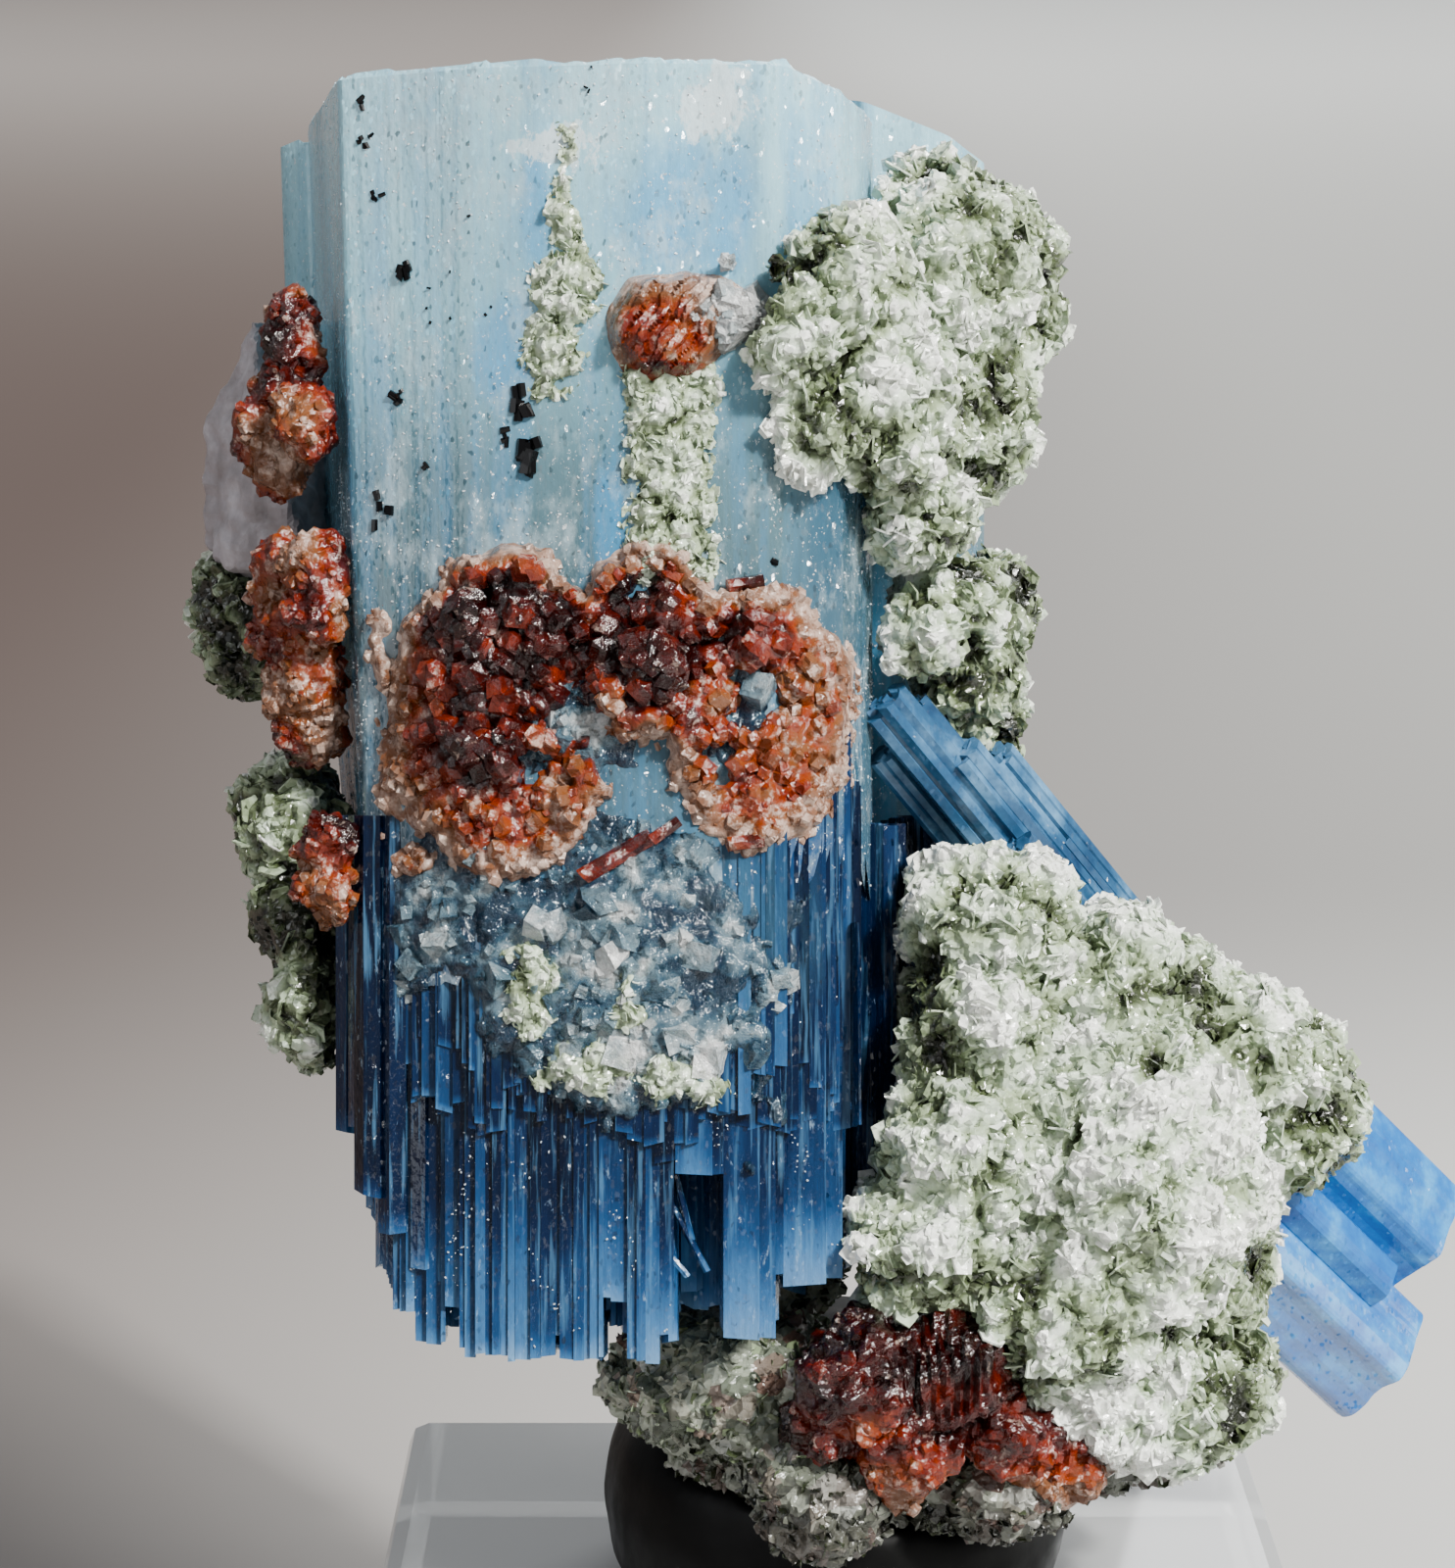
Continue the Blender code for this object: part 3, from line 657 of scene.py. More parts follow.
# Rows behind fill the crystal's section
row, deep = 0, CRYSTAL_FRONT + 2.4
while deep < 7.0:
    across = -9.6 + 0.3 * (row % 2)
    while across < 3.6:
        inside = (across - CRYSTAL_AXIS) ** 2 / 7.6**2 + deep**2 / 7.6**2
        if inside < 0.85:
            left_lift = 1.7 * max(0.0, -7.2 - across)
            foot = -13.4 + left_lift + 0.12 * (deep + 6) + picks.uniform(-0.5, 0.9)
            place = across + picks.uniform(-0.1, 0.1), deep + picks.uniform(-0.1, 0.1)
            add_rod(rods, (*place, foot), (*place, ROD_HEAD), 0.42, 0.46, picks)
        across += 0.62
    deep += 0.68
    row += 1
# The left side's rods end higher the further back they stand
LEFT_RODS = 90
for step in range(LEFT_RODS):
    along = step / (LEFT_RODS - 1)
    across = -8.2 - 1.5 * along + picks.uniform(-0.15, 0.15)
    deep = -4.2 + 7.5 * along
    foot = between(along, (0.0, -13.0), (0.3, -11.9), (0.7, -10.8), (1.0, -7.8)) + picks.uniform(-0.4, 0.6)
    add_rod(rods, (across, deep, foot), (across, deep, ROD_HEAD), picks.uniform(0.2, 0.45), 0.5, picks)
# Loose needles hang in the gap between the two groups on the right
for tip, turn in (((-0.5, -6.3, -12.2), 0.5), ((-0.9, -6.2, -11.4), 0.25), ((-1.0, -6.4, -12.3), 0.7)):
    way = Vector((-math.sin(turn), 0.1, math.cos(turn)))
    add_rod(rods, tip, Vector(tip) + way * 2.4, 0.09, 0.09, picks)
rod_bundle = made("aquamarine_rods", rods)


def toned_by(tree, pattern, strength, shade):
    """A shade lightened and darkened by a pattern."""
    shift = add_node(tree, "ShaderNodeMath", {0: pattern, 1: 0.5}, operation="SUBTRACT").outputs[0]
    sum_of = {0: shift, 1: strength, 2: shade}
    return add_node(tree, "ShaderNodeMath", sum_of, operation="MULTIPLY_ADD").outputs[0]


glassy_beryl, tree, shader = finish(
    "aquamarine, clear deep blue rods",
    Roughness=0.12,
    IOR=BERYL_IOR,
    Transmission_Weight=0.3,
    Specular_IOR_Level=0.3,
)
vector = specimen_coordinates(tree)
shade = add_node(tree, "ShaderNodeAttribute", attribute_name="shade").outputs["Fac"]
wander = grain(tree, vector, 1.3, (1, 1, 0.12), Detail=4.0, Roughness=0.6)
# The lower ends are painted lighter: a glow of light coming out where the rods end
painted_end_glow = add_node(
    tree,
    "ShaderNodeValToRGB",
    {"Fac": height_of(tree, vector, -14.5, -9.5)},
    ((0.0, 0.32), (0.5, 0.22), (0.85, 0.02), (1.0, 0.0)),
).outputs[0]
lit = add_node(tree, "ShaderNodeMath", {0: painted_end_glow, 1: shade}, operation="ADD").outputs[0]
rod_colour = add_node(
    tree,
    "ShaderNodeValToRGB",
    {"Fac": toned_by(tree, wander, 0.5, lit)},
    ((0.0, "#010a1e"), (0.2, "#041a3a"), (0.4, "#143e6a"), (0.62, "#3c6d9c"), (1.0, "#7aa4ca")),
).outputs[0]
haze = patch(tree, vector, (-2.6, -7.0, -3.4), (4.6, 3.0, 3.4), wander)
hazed = laid_over(tree, rod_colour, "#42708c", haze, (0.0, 0.0), (1.0, 0.6))
fine = grain(tree, vector, 6.0, (1, 1, 0.06), Detail=3.0)
fine_streaked = laid_over(tree, hazed, "#5a8fb8", fine, (0.54, 0.0), (0.68, 0.4))
speck = grain(tree, vector, 5.5, (1, 1, 0.3), Detail=4.0, Roughness=0.75)
specked = laid_over(tree, fine_streaked, "#9dbcd8", speck, (0.62, 0.0), (0.72, 0.5))
tree.links.new(specked, shader.inputs["Base Color"])
ribbing(tree, vector, shader, 0.6, 0.05, 1.0, 1.1)
body = add_node(tree, "ShaderNodeVolumeAbsorption", {"Color": "#4a86d8", "Density": 420.0})
tree.links.new(body.outputs["Volume"], tree.nodes["Material Output"].inputs["Volume"])
settle(rod_bundle, "deep aquamarine", glassy_beryl, "aquamarine_main")


# The crystal behind: a smaller prism of the same beryl, grown parallel to the main one. Its top is cut off at
# a slant.
BACK_CENTRE = Vector((4.9, 6.25))
BACK_WIDE, BACK_DEEP = 2.35, 2.6
BACK_FOOT, BACK_HEAD, BACK_SLOPE = -5.0, 18.3, -0.4
back_outline = [(x * BACK_WIDE, y * BACK_DEEP) for x, y in SIX_SIDED]


def place_on_back(point, way, arc, level):
    out = 0.6 * ribs(arc, level, 30.0)
    tilt = BACK_SLOPE * point.x * (level - BACK_FOOT) / (BACK_HEAD - BACK_FOOT)
    x, y = BACK_CENTRE + point + way * out
    return (x, y, level + tilt)


back_levels = [BACK_HEAD - step * (BACK_HEAD - BACK_FOOT) / 40 for step in range(41)]
back = made("aquamarine_behind", ribbed_prism(back_outline, RIB_SPACING, back_levels, place_on_back))
settle(back, "pale aquamarine", frosted_beryl, "aquamarine_back")


# The spray: sheaves of thin glassy beryl rods that cross behind the mica at a slant. They show beside the
# main crystal. Three single prisms, thick and finely ribbed, come out at the lower right.
SPRAY_UPPER_WAY = Vector((8.2, 5.2, -9.6)).normalized()
SPRAY_LOWER_WAY = Vector((6.0, 4.5, -5.6)).normalized()


def add_sheaf(bm, tip, way, length, radius, count, picks):
    """A bundle of parallel rods that fills a round section, with its ends in steps."""
    tip = Vector(tip)
    turned = way.to_track_quat("Z", "Y").to_matrix()
    thin = radius / math.sqrt(count) * 1.25
    for index in range(count):
        out = (radius - thin) * math.sqrt(index / max(1, count - 1))
        angle = index * 2.4
        side = turned @ Vector((math.cos(angle) * out, math.sin(angle) * out, 0))
        step = picks.uniform(0, 0.3) * radius
        add_rod(bm, tip + side + way * step, tip + side + way * (length - step), thin, thin, picks)


spray = bmesh.new()
for tip, length, radius in (
    ((5.9, -2.2, 0.8), 13.8, 0.75),
    ((3.95, -3.2, 2.2), 8.2, 0.75),
    ((4.5, -2.6, 2.0), 9.5, 0.75),
    ((4.0, -2.3, 0.9), 6.0, 0.55),
    ((6.9, -1.1, 0.7), 8.5, 0.7),
    ((8.6, -0.2, -1.5), 6.0, 0.6),
    ((7.4, -2.1, -1.6), 4.2, 0.65),
):
    add_sheaf(spray, tip, SPRAY_UPPER_WAY, length, radius, 16, picks)
spray_piece = made("aquamarine_spray", spray)


def stout_rod(name, tip, length, radius, seed):
    """One thick prism, finely ribbed along its length and broken across at its far end."""
    turned = SPRAY_LOWER_WAY.to_track_quat("Z", "Y").to_matrix()

    def place_on_rod(point, way, arc, level):
        x, y = point + way * 2.5 * ribs(arc, level, seed)
        broken = 0.3 * noise.noise(Vector((arc / 1.2, 4, seed))) + 0.2 * x
        return Vector(tip) + turned @ Vector((x, y, length * level + broken * (level == 1.0)))

    rod_levels = [step / 30 for step in range(31)]
    return made(name, ribbed_prism(hexagon(radius, 0.35), RIB_SPACING, rod_levels, place_on_rod))


stout_rods = [
    stout_rod("aquamarine_stout_upper", (13.2, 2.8, -7.1), 9.3, 2.2, 61.0),
    stout_rod("aquamarine_stout_lower", (12.5, 2.8, -10.9), 8.7, 2.1, 67.0),
    stout_rod("aquamarine_stout_beside", (13.2, 1.4, -9.4), 7.4, 0.9, 71.0),
]
spray_beryl, tree, shader = finish(
    "aquamarine, clear mid blue rods",
    Roughness=0.22,
    IOR=BERYL_IOR,
    Transmission_Weight=0.15,
    Specular_IOR_Level=0.25,
)
vector = specimen_coordinates(tree)
drawn_out = tuple(1 - 0.9 * abs(part) for part in SPRAY_LOWER_WAY)
wander = grain(tree, vector, 0.9, drawn_out, Detail=5.0, Roughness=0.65)
# The thick ones, low down, are a brighter blue
blues = []
for stops in (
    ((0.3, "#0c2747"), (0.5, "#2a5478"), (0.75, "#6c9cc0")),
    ((0.35, "#08529c"), (0.5, "#176cb6"), (0.68, "#45a0dc")),
):
    blues.append(add_node(tree, "ShaderNodeValToRGB", {"Fac": wander}, stops).outputs[0])
blend = {0: height_of(tree, vector, -4, -9), 6: blues[0], 7: blues[1]}
spray_colour = add_node(tree, "ShaderNodeMix", blend, data_type="RGBA").outputs[2]
tree.links.new(spray_colour, shader.inputs["Base Color"])
ribbing(tree, vector, shader, 0.3, 0.05, 0.3, 0.7)
body = add_node(tree, "ShaderNodeVolumeAbsorption", {"Color": "#5a96d8", "Density": 320.0})
tree.links.new(body.outputs["Volume"], tree.nodes["Material Output"].inputs["Volume"])
for piece in (spray_piece, *stout_rods):
    settle(piece, "deep aquamarine", spray_beryl, "aquamarine_slanted")


# The rods in the cleft: sheaves of thin beryl prisms between the main crystal and the mica, bundled like
# the spray. They are as deep a blue as the main crystal's rods.
inner = bmesh.new()
for foot, head, radius in (
    ((5.1, 0.7, -11.4), (4.9, 0.9, -0.8), 0.95),
    ((6.1, 1.6, -10.2), (5.8, 1.8, -1.6), 0.9),
    ((4.0, -2.6, -11.0), (4.0, -2.4, -1.0), 0.8),
    ((4.3, -0.6, -12.0), (4.2, -0.4, -1.0), 0.8),
    ((3.5, -1.4, -11.2), (3.5, -1.2, -1.0), 0.7),
):
    run = Vector(head) - Vector(foot)
    add_sheaf(inner, foot, run.normalized(), run.length, radius, 9, picks)
inner_piece = made("aquamarine_cleft_rods", inner)
settle(inner_piece, "deep aquamarine", glassy_beryl, "aquamarine_inner")


# The feldspar: a cleaved block of pale grey potassium feldspar behind the left side, with a lilac tint. Its
# faces are cleavage planes with a pearly sheen.
feldspar, tree, shader = finish("feldspar, cleaved", Roughness=0.4, IOR=1.52, Transmission_Weight=0.12)
vector = specimen_coordinates(tree)
veins = grain(tree, vector, 0.9, Detail=6.0, Roughness=0.6)
greys = ((0.3, "#8d8688"), (0.5, "#a9a3a8"), (0.7, "#cfcbd2"))
veined = add_node(tree, "ShaderNodeValToRGB", {"Fac": veins}, greys)
tree.links.new(veined.outputs[0], shader.inputs["Base Color"])
bump = add_node(tree, "ShaderNodeBump", {"Height": veins, "Strength": 0.5, "Distance": 0.2 * MM})
tree.links.new(bump.outputs["Normal"], shader.inputs["Normal"])
cleaved = fine_skin("feldspar_cleaved", "feldspar_block", 0.15, 0.15)
move_points(cleaved, lambda p: 0.2 * noise.noise(p / 1.3) + 0.12 * noise.noise(p / 0.4))
settle(cleaved, "feldspar", feldspar, "feldspar_block")


# The garnets: spessartine, grown as clusters of small twelve-faced crystals. They are orange where light
# comes through and dark red in the middle, and their outer rims are etched to a dull pinkish brown.
def within(across, up, centre, radii):
    """Roughly how far inside an ellipse a place is, in millimetres. It is negative outside."""
    reach = math.hypot((across - centre[0]) / radii[0], (up - centre[1]) / radii[1])
    return (1 - reach) * min(radii)


def deepest_in(across, up, places):
    """How far inside any of some ellipses a place is. Each is given as its centre and radii."""
    return max(within(across, up, *place) for place in places)


def uneven(across, up, seed, size):
    """A smoothly varying value over the front, from about -1 to 1."""
    return noise.noise(Vector((across, up, seed)) / size)


# The rise of a crust where there is none of it, well below the face
NONE_HERE = -0.3


def on_front(name, left, right, low, high, spacing, rise, shade):
    """A closed crust on the main crystal's front, rise(across, up) thick. It ends where that sinks in."""
    sunk, root = -0.12, 0.35
    columns, rows = round((right - left) / spacing), round((high - low) / spacing)
    bm = bmesh.new()
    layer = bm.verts.layers.float.new("shade")
    heights, front, back = {}, {}, {}
    for i in range(columns + 1):
        for j in range(rows + 1):
            heights[i, j] = rise(left + i * spacing, low + j * spacing)

    def point(layer_points, i, j, out):
        if (i, j) not in layer_points:
            across, up = left + i * spacing, low + j * spacing
            vert = bm.verts.new((across, front_depth(across, up) - out, up))
            vert[layer] = shade(across, up, heights[i, j])
            layer_points[i, j] = vert
        return layer_points[i, j]

    cells = set()
    for i in range(columns):
        for j in range(rows):
            if max(heights[i + a, j + b] for a in (0, 1) for b in (0, 1)) > sunk:
                cells.add((i, j))
    for i, j in cells:
        corners = ((i, j), (i + 1, j), (i + 1, j + 1), (i, j + 1))
        bm.faces.new([point(front, *corner, max(sunk - 0.1, heights[corner])) for corner in corners])
        bm.faces.new([point(back, *corner, -root) for corner in reversed(corners)])
        for beyond, first, second in (
            ((i, j - 1), (i, j), (i + 1, j)),
            ((i + 1, j), (i + 1, j), (i + 1, j + 1)),
            ((i, j + 1), (i + 1, j + 1), (i, j + 1)),
            ((i - 1, j), (i, j + 1), (i, j)),
        ):
            if beyond not in cells:
                rim = (front[second], front[first], point(back, *first, -root), point(back, *second, -root))
                bm.faces.new(rim)
    bmesh.ops.recalc_face_normals(bm, faces=bm.faces)
    return made(name, bm)


def knobs(across, up, size, seed, blocky=False):
    """Knobs packed side by side, from 1 at a knob's top down to about 0 between them."""
    metric = "CHEBYCHEV" if blocky else "DISTANCE"
    far = noise.voronoi(Vector((across, up, seed)) / size, distance_metric=metric)[0][0]
    return 1 - far * far * 1.6


def scatter_tree(name, shape_object, material, on_edge):
    """Geometry nodes that scatter a small shape over a surface. Plates stand roughly on edge."""
    tree = bpy.data.node_groups.new(name, "GeometryNodeTree")
    tree.interface.new_socket("Surface", in_out="INPUT", socket_type="NodeSocketGeometry")
    for label in (
        "Per square millimetre",
        "Smallest",
        "Largest",
        "Sink",
        "Density by shade",
        "Size by shade",
        "Shade spread",
    ):
        tree.interface.new_socket(label, in_out="INPUT", socket_type="NodeSocketFloat")
    tree.interface.new_socket("Seed", in_out="INPUT", socket_type="NodeSocketInt")
    tree.interface.new_socket("Grains", in_out="OUTPUT", socket_type="NodeSocketGeometry")
    given = add_node(tree, "NodeGroupInput").outputs
    named = add_node(tree, "GeometryNodeInputNamedAttribute", {"Name": "shade"}, data_type="FLOAT")
    shade = named.outputs["Attribute"]
    seed = given["Seed"]

    def by_shade(share):
        """1 where share is 0, and 1 less the shade's lack where share is 1."""
        lack = add_node(tree, "ShaderNodeMath", {0: 1.0, 1: shade}, operation="SUBTRACT").outputs[0]
        part = add_node(tree, "ShaderNodeMath", {0: share, 1: lack}, operation="MULTIPLY").outputs[0]
        return add_node(tree, "ShaderNodeMath", {0: 1.0, 1: part}, operation="SUBTRACT").outputs[0]

    per_metre = {0: given["Per square millimetre"], 1: 1 / MM**2}
    even = add_node(tree, "ShaderNodeMath", per_metre, operation="MULTIPLY").outputs[0]
    thinned = {0: even, 1: by_shade(given["Density by shade"])}
    density = add_node(tree, "ShaderNodeMath", thinned, operation="MULTIPLY").outputs[0]
    spread_over = {"Mesh": given["Surface"], "Density": density, "Seed": seed}
    points = add_node(tree, "GeometryNodeDistributePointsOnFaces", spread_over)
    darkest = {0: given["Shade spread"], 1: -1.0}
    darkest = add_node(tree, "ShaderNodeMath", darkest, operation="MULTIPLY").outputs[0]
    spread = {2: darkest, 3: given["Shade spread"], "Seed": seed}
    lighter = add_node(tree, "FunctionNodeRandomValue", spread, data_type="FLOAT").outputs[1]
    own_shade = add_node(tree, "ShaderNodeMath", {0: shade, 1: lighter}, operation="ADD").outputs[0]
    kept = {"Geometry": points.outputs["Points"], "Name": "shade", "Value": own_shade}
    toned = add_node(tree, "GeometryNodeStoreNamedAttribute", kept, data_type="FLOAT")
    if on_edge:
        field = add_node(tree, "ShaderNodeTexNoise", {"Scale": 0.55 / MM, "Detail": 1.0}).outputs["Color"]
        centred = {0: field, 1: (0.5, 0.5, 0.5)}
        swing = add_node(tree, "ShaderNodeVectorMath", centred, operation="SUBTRACT").outputs[0]
        both_ways = {0: swing, 1: points.outputs["Normal"]}
        flat = add_node(tree, "ShaderNodeVectorMath", both_ways, operation="CROSS_PRODUCT").outputs[0]
        facing = add_node(tree, "FunctionNodeAlignRotationToVector", {"Vector": flat}, axis="Z")
        limits = {0: (-0.9, -0.9, -math.pi), 1: (0.9, 0.9, math.pi), "Seed": seed}
        loose = add_node(tree, "FunctionNodeRandomValue", limits, data_type="FLOAT_VECTOR")
        turns = {"Rotation": facing.outputs[0], "Rotate By": loose.outputs[0]}
        turn = add_node(tree, "FunctionNodeRotateRotation", turns, rotation_space="LOCAL")
    else:
        limits = {0: (-math.pi,) * 3, 1: (math.pi,) * 3, "Seed": seed}
        turn = add_node(tree, "FunctionNodeRandomValue", limits, data_type="FLOAT_VECTOR")
    sizes = {2: given["Smallest"], 3: given["Largest"], "Seed": seed}
    size = add_node(tree, "FunctionNodeRandomValue", sizes, data_type="FLOAT").outputs[1]
    half = add_node(tree, "ShaderNodeMath", {0: size, 1: MM / 2}, operation="MULTIPLY").outputs[0]
    shrunk = {0: half, 1: by_shade(given["Size by shade"])}
    radius = add_node(tree, "ShaderNodeMath", shrunk, operation="MULTIPLY").outputs[0]
    sink = add_node(tree, "ShaderNodeMath", {0: given["Sink"], 1: -MM}, operation="MULTIPLY").outputs[0]
    inward = {0: points.outputs["Normal"], "Scale": sink}
    down = add_node(tree, "ShaderNodeVectorMath", inward, operation="SCALE").outputs[0]
    sunk = add_node(tree, "GeometryNodeSetPosition", {"Geometry": toned.outputs[0], "Offset": down})
    shape = add_node(tree, "GeometryNodeObjectInfo", {"Object": shape_object})
    placed = add_node(
        tree,
        "GeometryNodeInstanceOnPoints",
        {
            "Points": sunk.outputs[0],
            "Instance": shape.outputs["Geometry"],
            "Rotation": turn.outputs[0],
            "Scale": radius,
        },
    )
    real = add_node(tree, "GeometryNodeRealizeInstances", {"Geometry": placed.outputs[0]})
    coated = add_node(tree, "GeometryNodeSetMaterial", {"Geometry": real.outputs[0], "Material": material})
    add_node(tree, "NodeGroupOutput", {"Grains": coated.outputs[0]})
    return tree


def scattered(name, surface, tree, seed, density, smallest, largest, **others):
    """The grains that a tree scatters over a copy of a surface. Sizes are in millimetres."""
    obj = bpy.data.objects.new(name, surface.data.copy())
    bpy.context.scene.collection.objects.link(obj)
    modifier = obj.modifiers.new(name, "NODES")
    modifier.node_group = tree
    values = {"Per square millimetre": density, "Smallest": smallest, "Largest": largest, "Seed": seed}
    for label in ("Sink", "Density by shade", "Size by shade", "Shade spread"):
        values[label] = others.get(label.lower().replace(" ", "_"), 0.0)
    for item in tree.interface.items_tree:
        if item.in_out == "INPUT" and item.name in values:
            modifier[item.identifier] = values[item.name]
    return baked(obj)


def shade_points(obj, shade):
    """Each point's shade, from a function of its place in the specimen's frame, in millimetres."""
    layer = obj.data.attributes.new("shade", "FLOAT", "POINT")
    layer.data.foreach_set("value", [shade(to_specimen @ vert.co) for vert in obj.data.vertices])


# A garnet's shade runs from 0, clear and glossy, to 1, etched
garnet, tree, shader = finish(
    "spessartine garnet", IOR=1.8, Transmission_Weight=0.15, Specular_IOR_Level=0.25
)
vector = specimen_coordinates(tree)
shade = add_node(tree, "ShaderNodeAttribute", attribute_name="shade").outputs["Fac"]
depth = grain(tree, vector, 0.8, Detail=4.0, Roughness=0.6)
garnet_colour = add_node(
    tree,
    "ShaderNodeValToRGB",
    {"Fac": toned_by(tree, depth, 1.1, shade)},
    (
        (0.0, "#180202"),
        (0.18, "#3a0703"),
        (0.36, "#681803"),
        (0.5, "#7c2e08"),
        (0.64, "#70401f"),
        (0.82, "#754f3a"),
        (1.0, "#a08474"),
    ),
).outputs[0]
crumbs = grain(tree, vector, 2.2, Detail=5.0, Roughness=0.7)
etching = {0: shade, 1: 0.16, 2: crumbs}
etched = add_node(tree, "ShaderNodeMath", etching, operation="MULTIPLY_ADD").outputs[0]
crusted = laid_over(tree, garnet_colour, "#cdb6a8", etched, (0.62, 0.0), (0.74, 0.6))
tree.links.new(crusted, shader.inputs["Base Color"])
gloss = add_node(tree, "ShaderNodeValToRGB", {"Fac": etched}, ((0.45, 0.04), (0.75, 0.25)))
tree.links.new(gloss.outputs[0], shader.inputs["Roughness"])
chipped = grain(tree, vector, 1.6, Detail=5.0, Roughness=0.7)
rough_skin(tree, vector, shader, chipped, 0.6, 0.2, 3.5, 0.8)

# A grain is a rhombic dodecahedron, one unit across its radius
grain_bm = bmesh.new()
points = [Vector((x, y, z)) / 2 for x in (-1, 1) for y in (-1, 1) for z in (-1, 1)]
points += [Vector(way * (k == axis) for k in range(3)) for axis in range(3) for way in (-1, 1)]
for point in points:
    grain_bm.verts.new(point)
bmesh.ops.convex_hull(grain_bm, input=grain_bm.verts)
garnet_shape = linked("garnet shape", grain_bm)
garnet_scatter = scatter_tree("garnet grains", garnet_shape, garnet, on_edge=False)

# The left ring, the right one, where they meet, and three strands at the left: centre and radii
RINGS = (
    ((-5.6, 1.8), (3.15, 4.3)),
    ((0.8, 1.7), (2.45, 3.4)),
    ((-2.0, 3.5), (2.0, 2.6)),
    ((-8.75, 3.0), (0.4, 1.6)),
    ((-8.5, 0.2), (0.45, 1.6)),
    ((-7.9, -1.9), (0.9, 0.5)),
)
CLEAR_GAPS = (
    ((0.7, 2.1), (0.75, 0.75)),
    ((-0.1, 0.4), (0.45, 0.4)),
    ((-2.9, 0.7), (0.6, 0.7)),
    ((-3.8, 1.8), (0.9, 0.6)),
    ((-4.7, 0.4), (0.5, 0.4)),
)
DARKEST = (
    ((-5.3, 3.6), (2.2, 1.9)),
    ((-2.4, 3.0), (1.7, 2.7)),
    ((0.0, 3.8), (1.1, 0.6)),
    ((-6.2, 1.2), (1.3, 1.2)),
)
# A spot painted orange: a painted glow where light comes through the garnet
PAINTED_GLOW = ((-6.7, 2.9), (0.5, 0.5))


def ring_reach(across, up):
    """How far inside the rings' outer edge a place is."""
    ragged = 0.3 * uneven(across, up, 2, 0.9) + 0.12 * uneven(across, up, 4, 0.3)
    return deepest_in(across, up, RINGS) + ragged


def ring_rise(across, up):
    gap = deepest_in(across, up, CLEAR_GAPS)
    gap += 0.6 * uneven(across, up, 9, 0.6) - 0.05
    reach = min(ring_reach(across, up), -gap)
    if reach < 0:
        return NONE_HERE
    coarse = between(deepest_in(across, up, DARKEST), (-0.5, 0.25), (0.3, 0.75))
    lumps = coarse * knobs(across, up, 1.15, 1) + 0.22 * knobs(across, up, 0.5, 2)
    lumps += 0.06 * knobs(across, up, 0.2, 3)
    return between(reach, (0.0, -0.15), (0.2, 0.15), (0.8, 0.2), (1.6, 0.3)) + lumps * min(1.0, reach / 0.35)


def ring_shade(across, up, rise):
    inner = between(deepest_in(across, up, DARKEST), (-0.4, 0.46), (0.3, 0.04))
    inner += 0.2 * uneven(across, up, 7, 0.5)
    inner += 0.5 * max(0.0, within(across, up, *PAINTED_GLOW))
    rim = between(ring_reach(across, up), (0.2, 1.0), (0.75, 0.0))
    return inner + (0.9 - inner) * rim


rings = on_front("garnet_rings", -9.4, 3.5, -3.2, 6.8, 0.075, ring_rise, ring_shade)
rings.data.shade_smooth()
ring_grains = scattered(
    "garnet_ring_grains",
    rings,
    garnet_scatter,
    40,
    5.0,
    0.12,
    0.5,
    sink=0.06,
    size_by_shade=-1.4,
    shade_spread=0.14,
)
settle(rings, "garnet", garnet, "garnet_front")
settle(ring_grains, "garnet", garnet, "garnet_front")

# Thin splinters of clear orange garnet lie along the rings' lower and upper edges
splinters = bmesh.new()
for first, last, half in (
    ((-3.6, -2.3), (-1.9, -1.3), 0.22),
    ((-1.9, -1.4), (-1.2, -0.9), 0.16),
    ((0.0, -1.5), (0.9, -1.4), 0.2),
    ((0.0, 4.9), (0.9, 5.05), 0.18),
    ((-6.9, 2.4), (-6.6, 3.1), 0.2),
):
    ends = [Vector((across, front_depth(across, up) - 0.25, up)) for across, up in (first, last)]
    add_rod(splinters, *ends, half, half, picks)
splinter_piece = made("garnet_splinters", splinters)
settle(splinter_piece, "garnet", garnet, "garnet_front")

UPPER_GARNET = (((-1.5, 11.3), (1.6, 1.5)), ((-0.6, 11.9), (1.2, 0.8)))


def upper_rise(across, up):
    """One stout crystal, stepped in thin layers on its left, that runs out to the right."""
    reach = deepest_in(across, up, UPPER_GARNET) + 0.2 * uneven(across, up, 6, 0.7)
    if reach < 0:
        return NONE_HERE
    layers = 0.12 * math.floor(3.5 * (across - 0.6 * up) + uneven(across, up, 8, 0.8)) % 0.36
    chips = 0.35 * knobs(across, up, 0.9, 5, True)
    return between(reach, (0.0, -0.1), (0.35, 0.2), (1.2, 0.5)) + (layers + chips) * min(1.0, reach / 0.4)


def upper_shade(across, up, rise):
    flank = between(within(across, up, (-1.6, 11.1), (1.4, 1.2)), (-0.2, 0.95), (0.4, 0.5))
    flank -= 0.3 * (up < 10.4)
    return flank + 0.25 * uneven(across, up, 12, 0.45)


upper = on_front("garnet_above", -3.6, 1.6, 9.4, 13.3, 0.07, upper_rise, upper_shade)
settle(upper, "garnet", garnet, "garnet_upper")

